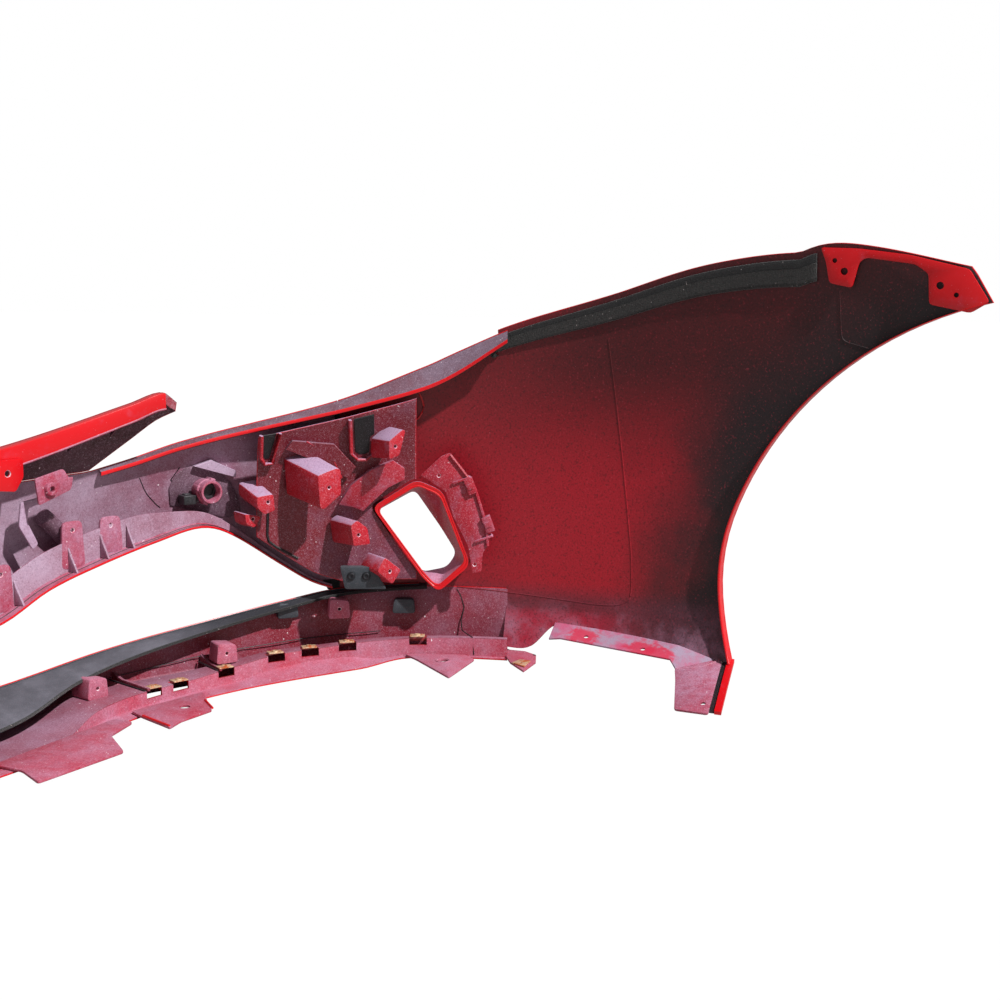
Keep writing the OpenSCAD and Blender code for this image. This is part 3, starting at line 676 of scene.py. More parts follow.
def felt(name, base, light):
    """Needled felt: short crossing fibres, with lint."""
    t = Tree(name, Roughness=0.96, Sheen_Weight=0.25, Sheen_Roughness=0.6)
    fibre = t.noise(900, 4, 0.75, (1, 0.25, 1))
    cross = t.noise(800, 4, 0.75, (1, 1, 0.25))
    weave = t.times(fibre, t.band(cross, 0.2, 0.8, 0.5, 1.5))
    color = t.mix(t.band(weave, 0.3, 0.75), base, light)
    color = t.fleck(color, t.noise(320, 1), 0.74, 0.77, 1, 150, 142, 140)
    return t.finish(color, None, weave, 0.8, 0.0012)


def plated_steel():
    """Yellow zinc on spring steel, rusting from its edges."""
    t = Tree("yellow_zinc", Metallic=0.35)
    rust = t.band(t.noise(90, 6, 0.7), 0.44, 0.62)
    color = t.mix(rust, rgb(226, 196, 160), rgb(186, 92, 44))
    color = t.fleck(color, t.noise(190, 4, 0.8), 0.6, 0.7, 1, 94, 44, 26)
    return t.finish(color, t.band(rust, 0, 1, 0.4, 0.85), t.noise(800, 3), 0.4)


def coated_screw():
    t = Tree("coated_screw", Metallic=0.7)
    color = t.mix(t.noise(300, 4), rgb(34, 34, 38), rgb(70, 70, 74))
    return t.finish(color, t.band(t.noise(200, 3), 0.3, 0.7, 0.35, 0.6), t.noise(900, 2), 0.2)


def worn_rim():
    """Bare pale plastic where paint is rubbed off around a bore."""
    t = Tree("worn_rim")
    color = t.mix(t.band(t.noise(500, 3), 0.4, 0.65), rgb(226, 204, 212), rgb(206, 74, 100))
    return t.finish(color, 0.6, t.noise(900, 2), 0.2)


def floor_paint():
    """Pale ground that lights the part from below, and shows plain white behind it."""
    t = Tree("studio_floor", Emission_Color=(1, 1, 1, 1), Roughness=1.0)
    seen = t.add("LightPath", {}, "Is Camera Ray")
    t.feed(t.shader.inputs["Emission Strength"], seen)
    ground = t.mix(t.noise(0.8), (0.36, 0.35, 0.34, 1), (0.42, 0.41, 0.4, 1))
    return t.finish(t.mix(seen, ground, (0, 0, 0, 1)), 0.9)


PAINT = gloss_paint()
EDGE = bright_edge()
BEAM = overspray("beam_overspray", rgb(132, 44, 72), rgb(184, 160, 182), 0.56, 0.1, 4.0, -0.2)
# dark maroon inside the beak and on its webs: partly the hollow's own dark overspray, partly painted shade
# under the rail
BEAK_WITH_SHADE = overspray("beak_overspray_and_painted_shade", rgb(56, 14, 22), rgb(120, 84, 98), 0.12, 0.4)
# painted shade: a darker red with hardly any dust, for the shadow the shelf and bosses cast on the panel
# behind the headlamp
SHADED_LAMP = overspray("lamp_overspray_painted_shade", rgb(126, 14, 34), rgb(132, 104, 130), 0.04, 0.8, 5.0, 0.15)
VALANCE = overspray("valance_overspray", rgb(146, 20, 44), rgb(166, 124, 148), 0.2, 0.4, 3.5, 0.0)
PAN = overspray("pan_overspray", rgb(188, 26, 58), rgb(186, 130, 156), 0.3, 0.15, 6.0, 0.0)
BOSS = overspray("boss_overspray", rgb(200, 12, 36), rgb(178, 146, 176), -0.1, 1.15, 14.0, 0.25)
DUCT = overspray("duct_overspray", rgb(186, 20, 46), rgb(186, 128, 156), 0.06, 0.75, 12.0, 0.3)
TAB = overspray("tab_overspray", rgb(178, 28, 62), rgb(186, 140, 168), 0.32, 0.12, 14.0)
STRAP = overspray("strap_overspray", rgb(150, 96, 126), rgb(196, 170, 194), 0.8, 0.2, 14.0)
PLATE = overspray("plate_overspray", rgb(84, 44, 58), rgb(128, 96, 116), 0.4, 0.1, 14.0)
SHELF = overspray("shelf_overspray", rgb(104, 26, 40), rgb(132, 112, 130), 0.45, 0.12, 8.0)
SCUFF = overspray("scuffed_paint", rgb(226, 40, 66), rgb(240, 190, 204), 0.35, 0.1, 60.0)
WING = wing_inside()
BLADE = black_plastic("dusty_blade_plastic", rgb(30, 31, 38), rgb(106, 104, 114), 0.42, 0.5, away=0.72)
# dark plastic for grooves, cracks, joints and hidden faces; also laid as painted shade in the lamp windows,
# inside the rail's fold, under the shelf's lip, beside the floor ridges and beside the closing tab
DARK_AND_SHADE = black_plastic("dark_plastic_and_painted_shade", rgb(12, 6, 9), rgb(48, 32, 40), 0.1, 0.24)
GREY = black_plastic("grey_bracket_plastic", rgb(52, 58, 64), rgb(104, 108, 116), 0.24, 0.25)
BLACK = black_plastic("black_sensor_plastic", rgb(18, 18, 20), rgb(90, 86, 92), 0.22, 0.3, 0.4)
FELT = felt("charcoal_felt", rgb(22, 22, 21), rgb(50, 48, 46))
TAPE = felt("black_felt_tape", rgb(6, 6, 7), rgb(22, 22, 23))
ZINC = plated_steel()
SCREW = coated_screw()
WORN = worn_rim()
SILL_PAINT = sill_paint()


# ---------------------------------------------------------------- small builders for the pieces
def strip(stations, low, high, rows, mats, free, depth=0.0):
    """Thin wall along the cover between two heights, which depend on the station."""
    def grid(d):
        return [[on_cover(t, z, d) for z in steps(low(abs(t)), high(abs(t)), rows)] for t in stations]

    return shell(grid(depth), grid(depth + WALL), mats, free)


def inside(line, depth, s=1):
    """Points at a depth in the cover, from stations and heights."""
    return [on_cover(s * t, z, depth) for t, z in line]


def patch(line, deep, reach, mat, s=1):
    """Raised pad on the inner face of the cover, from its outline in stations and heights."""
    mid = middle(line)
    return loft([inside((mid + (Vector(p) - mid) * grow for p in line), depth, s)
                 for grow, depth in ((1.0, deep), (1.0, deep + reach - 0.8), (0.96, deep + reach))], [mat])


def across(t, inset, z):
    """x into the car, y up, z along the cover."""
    return on_plan(t, inset, z) @ turn(90, "Z") @ turn(90, "X")


def plate(outline, radius, place, mat, bores=(), bevel=0.8):
    """Flat tab with rounded corners and worn bores."""
    return block(soften(outline, radius), TAB_T, place, [mat, WORN], bores, bevel=bevel)


def ring(points, grow, z, place):
    """Outline moved out from its middle, at a height in a frame."""
    c = middle(points)
    moved = (c + (Vector(p) - c) * (1 + grow / (Vector(p) - c).length) for p in points)
    return [place @ Vector((p.x, p.y, z)) for p in moved]


def collar(points, width, low, high, place, mats):
    """Raised rim round an outline, with its top edges rounded."""
    r = width / 3
    profile = [(0, low), (0, high - r), (r * 0.4, high), (width - r * 0.4, high), (width, high - r),
               (width, low)]
    return loft([ring(points, g, z, place) for g, z in profile], mats, closed=True, sharp=50)


def trail(points, place, length=14.0, step=9.0):
    """Line of points through 2-D corners, with rounded corners and even steps."""
    bends = [Vector(points[0])]
    for a, p, b in zip(points, points[1:], points[2:]):
        a, p, b = Vector(a), Vector(p), Vector(b)
        start, end = p + (a - p).normalized() * length, p + (b - p).normalized() * length
        bends += bend(start, p, end, 4)
    bends.append(Vector(points[-1]))
    out = []
    for a, b in zip(bends, bends[1:]):
        count = max(1, round((b - a).length / step))
        out += [place(a.lerp(b, k / count)) for k in range(count)]
    return out + [place(bends[-1])]


def plug(grow, depth=DUCT_DEPTH + 40):
    place = at_corner(0)
    rings = [(MOUTH, 30), (THROAT, -DUCT_DEPTH), (THROAT, -depth)]
    return loft([ring(points, grow, z, place) for points, z in rings], [PAINT])


MOUTH = soften(DUCT_SKIN, 9, 4)  # the duct's outline at the skin
THROAT = soften(DUCT_RIM, 9, 4)  # and at its inner end


# ---------------------------------------------------------------- camera, light and floor
def make_studio():
    cam = bpy.data.objects.new("camera", bpy.data.cameras.new("camera"))
    cam.location = (0.896, 0.818, 0.524)
    cam.rotation_euler = (math.radians(81.8), 0, math.radians(117))
    cam.data.lens, cam.data.sensor_width = 54, 36
    sun = bpy.data.objects.new("sun", bpy.data.lights.new("sun", "SUN"))
    sun.data.energy, sun.data.angle = 4.2, math.radians(1.5)
    sun.rotation_euler = Vector((0.16, 0.70, 0.74)).to_track_quat("Z", "Y").to_euler()
    for obj in (cam, sun):
        SCENE.collection.objects.link(obj)
    SCENE.camera = cam
    world = bpy.data.worlds.new("studio")
    SCENE.world = world
    world.use_nodes = True
    nodes, links = world.node_tree.nodes, world.node_tree.links
    nodes.clear()
    mix, path = nodes.new("ShaderNodeMixShader"), nodes.new("ShaderNodeLightPath")
    links.new(path.outputs["Is Camera Ray"], mix.inputs[0])
    for k, color, strength in ((1, (0.93, 0.96, 1, 1), 0.3), (2, (1, 1, 1, 1), 1.0)):  # light, backdrop
        shade = nodes.new("ShaderNodeBackground")
        shade.inputs["Color"].default_value, shade.inputs["Strength"].default_value = color, strength
        links.new(shade.outputs[0], mix.inputs[k])
    links.new(mix.outputs[0], nodes.new("ShaderNodeOutputWorld").inputs[0])
    reach, low = 20.0, CAD_LOW.z - 0.0005
    mesh = bpy.data.meshes.new("floor")
    mesh.from_pydata([(x, y, low) for x, y in box(-reach, -reach, reach, reach)], [], [(0, 1, 2, 3)])
    mesh.materials.append(floor_paint())
    link(mesh, "floor")
    SCENE.view_settings.view_transform = "Standard"


# ---------------------------------------------------------------- skins across the front
def nose_top(t):
    return curve(SPLIT, t) if t < NOTCH else curve(TOP, t)


# Pads on the inner face (outline, reach, material): round the sensor, behind the seam, the end web, the arm
SKIN_PADS = (
    (((0.352, 238), (0.35, 262), (0.357, 277), (0.372, 288), (0.392, 290), (0.414, 281), (0.432, 262),
      (0.443, 240), (0.446, 221), (0.43, 214), (0.4, 222), (0.37, 232)), 3.0, PLATE),
    (((0.575, 113), (0.575, 352), (0.582, 352), (0.582, 113)), 1.6, DARK_AND_SHADE),
    (((0.558, 119), (0.565, 106), (0.582, 100), (0.582, 119)), 2.4, TAPE),
    (((0.38, 289), (0.403, 296), (0.437, 279), (0.437, 270)), 10.0, STRAP))
# Lines on the inner face (line, radius): groove, hairline crack, sensor wire
SKIN_LINES = (
    (((0.483, 224), (0.483, 200), (0.483, 182), (0.486, 175), (0.494, 169), (0.51, 159), (0.526, 149)), 1.9),
    (((0.312, 279), (0.318, 264), (0.322, 256), (0.333, 242), (0.339, 236)), 0.6),
    (((0.363, 288), (0.352, 272), (0.36, 262), (0.372, 251), (0.378, 244)), 0.9))


def make_nose():
    skin = strip(steps(-NOSE_END, NOSE_END, 132), lambda t: curve(BEAM_LOW, t), nose_top, 14,
                 [PAINT, BEAM, EDGE], {"low", "high"})
    holes = [lathe(box(0, -20, 9.2, 20), on_plan(s * SENSOR_AT, 0, SENSOR_Z) @ turn(-90, "X"), [PAINT], 36)
             for s in SIDES]
    parts = [cut(skin, holes)]
    tube = ((0.198, 246), (0.205, 238), (0.218, 220), (0.236, 203))
    for s in SIDES:
        parts += [patch(line, 2.7, reach, mat, s) for line, reach, mat in SKIN_PADS]
        parts += [bead(inside(line, 3.0, s), radius, [DARK_AND_SHADE]) for line, radius in SKIN_LINES]
        parts.append(bead(inside(tube, 17, s), 11.0, [PLATE], 20))
    whole("nose_skin", parts, "painted_cover")


def make_beak():
    def low(t):
        return (curve(SPLIT, t) if t < NOTCH else curve(PRONG_LOW, t)) + GRIP

    skin = strip(steps(-PRONG_END, PRONG_END, 84), low, lambda t: curve(RAIL_TOP, t), 8,
                 [PAINT, BEAK_WITH_SHADE, EDGE], {"low", "start", "end"})
    worn = ((0.3295, 389), (0.334, 388), (0.341, 383.5), (0.3495, 376), (0.3495, 366), (0.342, 370),
            (0.3295, 380))
    ends = [patch(worn, 2.8, 1.6, SCUFF, s) for s in SIDES]
    whole("beak_skin", [skin] + ends, "painted_cover")


def make_rail():
    """Bright return along the bonnet gap, with webs in the space behind it."""
    lip = 16.0

    def section(t):
        top = curve(RAIL_TOP, t)
        low = top - 30 + 28 * t
        back = lean(t, top) + WALL + GRIP
        return [(back, top), (back + lip, top), (back + lip, low), (back + lip - WALL, low),
                (back + lip - WALL, top - WALL), (back, top - WALL)]

    # the faces inside the rail's fold are dark plastic, darkened also as painted shade for the shadow under
    # the rail
    mats = [EDGE, DARK_AND_SHADE, TAB]
    parts = [sweep(steps(-RAIL_END, RAIL_END, 84), section, mats, (0, 0, 2, 1, 1, 1), 1.4)]
    for t in (0.03, 0.075, 0.15, 0.21, 0.255):
        for s in SIDES:
            (a, top), (b, _), (_, low) = section(t)[:3]
            web = [(a + 0.4, top - 4), (b - 3.4, top - 4), (b - 3.4, low + 2), (a + 1.5, low - 6)]
            parts.append(block(web, 2.4, across(s * t, 0, 0), [BEAK_WITH_SHADE], bevel=0.5))
    stations = steps(-RAIL_END, RAIL_END, 84)
    hem = [at(t, section(abs(t))[2][0] + 0.3, section(abs(t))[2][1] + 1.2) for t in stations]
    parts.append(bead(hem, 1.3, [TAB]))
    whole("bonnet_edge_rail", parts, "bright_edge")


def valance_section(t):
    top, base, ledge, step = (curve(k, t) for k in (BLADE_TOP, BASE, LEDGE, STEP))
    mid, rise, rear = lean(t, 60) - 2, base - PLATE_Z, step + curve(FLANGE_WIDTH, t)
    foot = base + curve(FOOT_RISE, t)
    belly = 0.55 * top + 0.4 * rise
    return [(lean(t, top), top), (mid, belly), (3, 14 + rise), (8, 4 + rise), (14, rise), (28, rise),
            (36, ledge - WALL), (step - WALL, ledge - WALL), (step - WALL, foot - WALL), (rear, base - WALL),
            (rear, base), (step, foot), (step, ledge), (34, ledge), (26, WALL + rise), (15, WALL + rise),
            (10, 6 + rise), (6, 15 + rise), (mid + WALL, belly), (lean(t, top) + WALL, top)]


WALL_SEAM = ((0.262, 24), (0.279, 25), (0.325, 27), (0.374, 30.5), (0.445, 34), (0.524, 39), (0.581, 42),
             (0.637, 45))
END_TAB = [(914, -88), (916, -66), (904, -44), (870, -28), (820, -22), (853, -58)]


def side(s):
    """Identity on the left, mirror image on the right."""
    return Matrix.Diagonal((s, 1, 1, 1))


def make_valance():
    """Lip, raised floor, step and rear flange, with clip slots along the step and ridges on the floor, each
    ridge with a dark strip of painted shadow beside it.
    """
    mats = [PAINT, VALANCE, PAN, EDGE]
    paints = [0] * 5 + [1] * 4 + [3, 2, 2] + [1] * 7 + [3]
    skin = sweep(steps(-WING_START, WING_START, 176), valance_section, mats, paints, 1.0)
    cutters = []
    for t in NUTS:
        for s in SIDES:
            inset, z = curve(STEP, t), curve(LEDGE, t)
            tall = min(10, z - curve(BASE, t) - curve(FOOT_RISE, t) - 3)
            place = on_plan(s * t, inset, z - tall)
            cutters.append(block(box(-12, -13, 12, 6), tall + 6, place, [DARK_AND_SHADE], bevel=0))
    parts = [cut(skin, cutters)]
    for t in (0.273, 0.387):
        for s in SIDES:
            step, z = curve(STEP, t), curve(LEDGE, t)
            ridge = [(8, -1), (step + 1, -1), (step + 1, 3.4), (30, 4), (8, 10)]
            parts.append(block(ridge, 4.0, across(s * t, 0, z), [VALANCE], bevel=0.9))
            # painted shadow: this thin dark strip on the floor beside the ridge stands for the shadow the
            # ridge casts; it is no slot
            slot = box(10, 0, step + 0.5, 1.6)
            parts.append(block(slot, 2.6, across(s * (t - 0.006), 0, z), [DARK_AND_SHADE], bevel=0.4))
    for s in SIDES:
        parts.append(bead([at(s * t, 8.2, z) for t, z in WALL_SEAM], 0.6, [DARK_AND_SHADE]))
        crack = inside(((0.739, 104), (0.744, 94), (0.748, 79), (0.744, 61), (0.745, 47)), 2.9, s)
        crack += [at(s * 0.752, 30, 46.2), at(s * 0.757, 43.5, 46.2), at(s * 0.759, 44.6, 22)]
        parts.append(bead(crack, 0.8, [DARK_AND_SHADE], 5))
        for t, z, w, h in ((0.506, 72, 15, 20), (0.668, 72, 16, 20)):
            clip = soften([(-w, 0), (w, 0), (w - 3, h), (-w + 2, h)], 4)
            parts.append(block(clip, 14, facing_in(s * t, 19, z), [GREY], bevel=2.0))
        reach = [Vector(at(WING_START - 0.003, inset, 0)[:2]) for inset in (36, 5)]
        outline = [Vector((abs(p.x), p.y)) for p in reach] + [Vector(p) for p in END_TAB]
        parts.append(block(outline, TAB_T, side(s) @ move(0, 0, REAR_TAB_Z),
                           [PAN, EDGE], [(850, -40, BORE)], bevel=0.7))
        leaf = [(834, -28), (866, -34), (866, -50), (846, -52)]
        parts.append(block(leaf, 1.6, side(s) @ move(0, 0, REAR_TAB_Z + 3.1), [ZINC, WORN],
                           [(850, -40, BORE)], bevel=0.4))
    whole("lower_valance", parts)


def make_beam_flange():
    """Shelf at the beam's lower edge, with an upright wall, screw lugs and a grooved, bright rear edge."""
    def section(t):
        low, wide = curve(BEAM_LOW, t) - 4, curve(SHELF_WIDTH, t)
        floor, rib = low + WALL, low + WALL + curve(RIB_HEIGHT, t)
        stand = wide * STAND
        return [(4, floor), (stand, floor), (stand, rib), (stand + WALL, rib), (stand + WALL, floor),
                (wide, floor), (wide, low), (4, low)]

    mats = [BEAM, TAB, EDGE, PAINT]
    parts = [sweep(steps(-0.57, 0.57, 120), section, mats, (0, 0, 1, 0, 1, 2, 3, 1))]
    for s in SIDES:
        for t, wide, tall in ((0.072, 16, 44), (0.15, 17, 58), (0.224, 17, 60), (0.268, 17, 47)):
            stand = curve(SHELF_WIDTH, t) * STAND
            lug = soften([(-wide, 2), (wide, 2), (wide - 3, tall), (-wide + 3, tall)], 7, 3)
            place = facing_in(s * t, stand + WALL + 0.6, curve(BEAM_LOW, t) - 1)
            parts.append(block(lug, WALL + 1.2, place, [TAB, WORN], [(0, tall - 11, 2.4)], bevel=0.8))
        for share, radius, top in ((0.78, 0.6, 0.55), (0.92, 0.5, 0.55)):
            start = 0.0 if share < 0.9 else 0.3
            line = [at(s * t, curve(SHELF_WIDTH, t) * share, curve(BEAM_LOW, t) - 1 + 0.1)
                    for t in steps(start, top, 70)]
            parts.append(bead(line, radius, [DARK_AND_SHADE]))
    whole("beam_lower_flange", parts)
    gussets = []
    for s in SIDES:
        for t in (0.05, 0.105, 0.163, 0.22, 0.257, 0.289):
            place = across(s * t, curve(SHELF_WIDTH, t) * STAND + WALL, curve(BEAM_LOW, t) - 1)
            gussets.append(block([(0.2, 0.2), (18, 0.2), (5, 20), (0.2, 30)], WALL, place, [BEAM], bevel=0.7))
    whole("beam_gussets", gussets)


def make_blade():
    """Black blade on the valance: rolled rear edge, and thin red and grey lines where it laps the lip."""
    def section(t):
        top, wide = curve(BLADE_TOP, t) + GRIP, curve(BLADE_WIDTH, t)
        return [(4, top + 4), (4 + wide / 2, top + 4 - wide * 0.07), (4 + wide, top + 4 - wide * 0.22),
                (4 + wide, top - wide * 0.22), (4 + wide / 2, top - wide * 0.07), (4, top)]

    parts = [sweep(steps(-0.7, 0.7, 150), section, [BLADE, TAPE], (0, 0, 1, 1, 1, 1), 1.5)]
    for inset, lift, radius, mat in ((6.5, 4.0, 0.9, EDGE), (9.5, 3.8, 0.7, GREY)):
        line = [at(t, inset, curve(BLADE_TOP, abs(t)) + GRIP + lift) for t in steps(-0.69, 0.69, 150)]
        parts.append(bead(line, radius, [mat]))
    whole("grille_blade", parts, "black_trim")


# ---------------------------------------------------------------- the corner
def make_corner():
    skin = strip(steps(NOSE_END + 0.001, WING_START, 44), lambda t: curve(BLADE_TOP, t) + GRIP,
                 lambda t: curve(TOP, t), 32, [PAINT, WING, EDGE], {"high"})
    skin = cut(skin, [plug(3.6)])
    arc = inside(((0.682, 398), (0.688, 383), (0.694, 371), (0.697, 360), (0.695, 351), (0.69, 343),
                  (0.679, 335), (0.67, 330)), 3.2)
    both("corner_skin", [skin, bead(arc, 1.4, [EDGE])], "painted_cover")
    rim = at_corner(0)
    rings = [(THROAT, 8, -DUCT_DEPTH), (THROAT, 8, 4 - DUCT_DEPTH), (THROAT, 3, 4 - DUCT_DEPTH),
             (MOUTH, 3, -6), (MOUTH, 0, -6)]
    inner = [(s, z) for s, z in zip(steps(0, 1, 6), steps(-6, -DUCT_DEPTH + 1.6, 6))][1:]
    loops = [ring(points, grow, z, rim) for points, grow, z in rings]
    for share, z in inner:
        a, b = ring(MOUTH, 0, z, rim), ring(THROAT, 0, z, rim)
        loops.append([p.lerp(q, share) for p, q in zip(a, b)])
    lip = ((0.6, -0.4), (2.0, 0.0), (3.2, -0.6), (4.2, -0.6), (5.2, 0.0), (7.2, 0.0))
    loops += [ring(THROAT, g, -DUCT_DEPTH - h, rim) for g, h in lip]
    frame_ring = loft(loops, [DUCT, EDGE], True, lambda i, j: 1 if i >= len(loops) - len(lip) - 1 else 0)
    both("duct_frame", frame_ring, name="duct")


def make_shelf():
    """Folded return along the headlamp cut-out."""
    def section(t):
        top = curve(TOP, t) - 1
        low, back = top - curve(SHELF_DROP, t), lean(t, top) + WALL + GRIP
        edge = back + curve(SHELF_DEEP, t)
        return [(back, top), (edge, low), (edge, low - 4.5), (edge - WALL, low - 4.5),
                (edge - WALL, low - WALL), (back, top - WALL)]

    # painted shade: the shelf's underside faces and the dark line laid along the foot of its lip are dark for
    # the shade below the shelf
    bar = sweep(steps(0.262, WING_START, 76), section, [EDGE, DARK_AND_SHADE, SHELF], (2, 0, 0, 1, 1, 1), 1.1)
    line = [at(t, section(t)[3][0] - 0.5, section(t)[3][1] + 0.4) for t in steps(0.27, 0.79, 76)]
    both("lamp_shelf", [bar, bead(line, 1.5, [DARK_AND_SHADE])], "bright_edge")


WINDOWS = (((0.466, 329), (0.467, 301), (0.472, 296), (0.477, 297), (0.486, 331)),
           ((0.597, 347), (0.600, 302), (0.605, 298), (0.614, 298), (0.620, 301), (0.621, 322), (0.627, 326),
            (0.626, 353)))
RIMS = (((0.463, 329), (0.464, 299), (0.469, 290), (0.481, 291), (0.49, 331)),
        ((0.591, 346), (0.594, 300), (0.603, 291), (0.616, 291), (0.624, 299), (0.625, 318)))
POCKET = ((0.499, 309), (0.508, 321), (0.569, 314), (0.600, 282), (0.589, 266), (0.533, 295))
ARC_BAND = ((0.576, 231), (0.593, 257), (0.620, 277), (0.652, 290), (0.668, 279), (0.668, 264), (0.646, 253),
            (0.624, 234), (0.610, 221), (0.596, 227))
PANEL_GROOVE = ((0.477, 233), (0.475, 193), (0.477, 184), (0.487, 176), (0.518, 158))
PANEL_FOLD = ((0.528, 319), (0.564, 300), (0.580, 267))


def make_lamp_support():
    """Panel behind the headlamp: two windows drawn as dark pads, painted shade for their shadowed insides,
    with rims, a raised pocket, an arc band and a groove.
    """
    depth, face = 34.0, 36.7
    # the panel's inner face and its pocket take the red darkened as painted shade
    panel = strip(steps(0.46, 0.685, 40), lambda t: max(curve(BEAM_LOW, min(t, NOSE_END)) + 14, 122),
                  lambda t: curve(TOP, t) - curve(SHELF_DROP, t) - 12, 24, [DARK_AND_SHADE, SHADED_LAMP, BOSS],
                  {"low", "high", "start", "end"}, depth)
    parts = [cut(panel, [plug(12, 140)])]
    for window, rim in zip(WINDOWS, RIMS):
        # painted shade: a dark pad in each window stands for the shade inside it
        parts.append(patch(window, face, 1.2, DARK_AND_SHADE))
        for deep in (38.5, 41.5, 44.5):
            parts.append(bead(inside(rim, deep), 2.2, [BOSS]))
    parts.append(patch(POCKET, face, 10.0, SHADED_LAMP))
    parts.append(patch(ARC_BAND, face, 13.0, DUCT))
    parts.append(bead(inside(PANEL_FOLD, face + 10), 1.2, [BOSS]))
    parts.append(bead(inside(PANEL_GROOVE, face + 0.5), 1.8, [DARK_AND_SHADE]))
    both("lamp_support", parts)


def horn(r, z, depth, outline, reach, shift=(0, 0)):
    place = at_corner(depth) @ move(r, z, 0) @ turn(-38, "Y")
    return block(soften(outline, 3), reach, place, [BOSS, WORN], [(0, 0, BORE, 20)], shift, 1.12, 1.4)


HORNS = ((-107, 261, 118, [(-17, 17), (12, 25), (18, 22), (18, -10), (-8, -28), (-14, -26)], 62, (-12, 16)),
         (-22, 312, 92, [(-10, 8), (12, 22), (16, 20), (6, -12), (-10, -16)], 40),
         (-188, 241, 112, [(-16, 8), (8, 10), (10, -12), (-6, -16), (-16, -6)], 40, (-4, 14)),
         (-209, 218, 108, [(-12, 8), (12, 2), (2, -12), (-10, -6)], 30),
         (-72, 194, 92, [(-12, 14), (-2, 20), (14, 8), (18, -14), (-8, -14)], 50),
         (-31, 145, 92, [(-20, 2), (-8, 20), (18, 0), (4, -18)], 40))


def make_bosses():
    both("lamp_bosses", [horn(*h) for h in HORNS], "bright_edge")


def make_clip_bracket():
    outline = [(8, 268), (36, 294), (48, 299), (62, 280), (80, 256), (97, 202), (99, 172), (92, 162),
               (90, 136), (78, 134), (75, 154), (72, 172), (52, 212), (42, 246), (16, 264)]
    place = at_corner(DUCT_DEPTH)
    parts = [plate(outline, 2.5, place, DUCT, [(33, 268, BORE), (81, 146, BORE)], 0.7)]
    for x, y in ((52, 256), (82, 176)):
        here = place @ move(x, y, -4) @ turn(20, "Z")
        parts.append(block([(0, 0), (26, 0), (24, 3), (0, 3)], 18, here, [DUCT], bevel=0.8))
    edge = trail([(50, 296), (64, 278), (82, 254), (98, 202), (100, 172)],
                 lambda p: place @ Vector((p.x - 1.5, p.y, -1.2)), 5, 6)
    parts.append(bead(edge, 2.2, [DUCT]))
    both("clip_bracket", parts)
    clips = []
    for x, y in ((66, 262), (90, 210)):
        here = at_corner(DUCT_DEPTH + 5.3) @ move(x, y, 0) @ turn(-70, "Z")
        body = block(box(0, 0, 22, 12), 14, here, [DUCT], bevel=0.9)
        notch = block(box(-1, -1, 19, 8), 6, here @ move(0, 0, 4), [DUCT], bevel=0)
        clips += [cut(body, [notch]), block(box(7, 1, 15, 9), 1.6, here @ move(0, 0, -1.2), [DUCT], bevel=0.5)]
    both("bracket_clips", clips)


def make_sensor():
    """Cup on the nose, the sensor in it and its plug."""
    place = on_plan(SENSOR_AT, 0, SENSOR_Z) @ turn(-90, "X")
    cup = [(15, 8), (15, 30), (16.5, 31), (16.5, 34), (15, 35), (15, 45), (14.4, 46), (12, 46), (11.3, 45),
           (11.3, 8)]
    parts = [lathe(cup, place, [TAB], 48)]
    for a in range(0, 360, 90):
        here = place @ turn(a + 20, "Z") @ move(0, 0, 22)
        parts.append(block([(14, -4), (18, -3), (18, 3), (14, 4)], 16, here, [TAB], bevel=0.7))
    both("sensor_holder", parts)
    body = [(0, 5), (7.2, 5), (8, 5.6), (8, 7), (10.4, 7), (11, 7.6), (11, 32), (10.2, 33), (7.5, 33),
            (7.2, 30.5), (0, 30.5)]
    both("parking_sensor", lathe(body, place, [BLACK], 48), "sensor_black")
    here = on_plan(SENSOR_AT, 0, SENSOR_Z) @ move(-34, 14, -16)
    pieces = [block(box(0, 0, 18, 20), 12, here, [BLACK], bevel=1.2),
              block(box(17.5, 6, 21, 14), 6, here @ move(0, 0, 3), [BLACK], bevel=0.6),
              block(box(4, 3, 13, 14), 2, here @ move(0, 0, 11.5), [BLACK], bevel=0.6)]
    both("sensor_plug", pieces, "sensor_black")


def make_blade_bracket():
    place = at_corner(88)
    outline = soften([(-98, 150), (-54, 150), (-36, 120), (-92, 120)], 3)
    sheet = block(outline, TAB_T, place, [GREY, GREY], [(-83, 138, BOLT), (-63, 138, BOLT)], bevel=0.8)
    flange = [(-98, 146), (-54, 146), (-52, 150), (-98, 150)]
    flange = block(flange, 12, place @ move(0, 0, 2), [GREY], bevel=0.9)
    both("blade_end_bracket", [sheet, flange], "bracket_grey")
    screw = [(0, -1.4), (1.6, -1.4), (1.8, -2.4), (3.6, -3.0), (4.9, -2.4), (5.5, -1.2), (5.5, 0), (3.2, 0),
             (3.2, 10), (2.4, 11), (0, 11)]
    screws = [lathe(screw, place @ move(x, 138, 0), [SCREW], 28) for x in (-83, -63)]
    both("blade_screws", screws, "screw_steel")


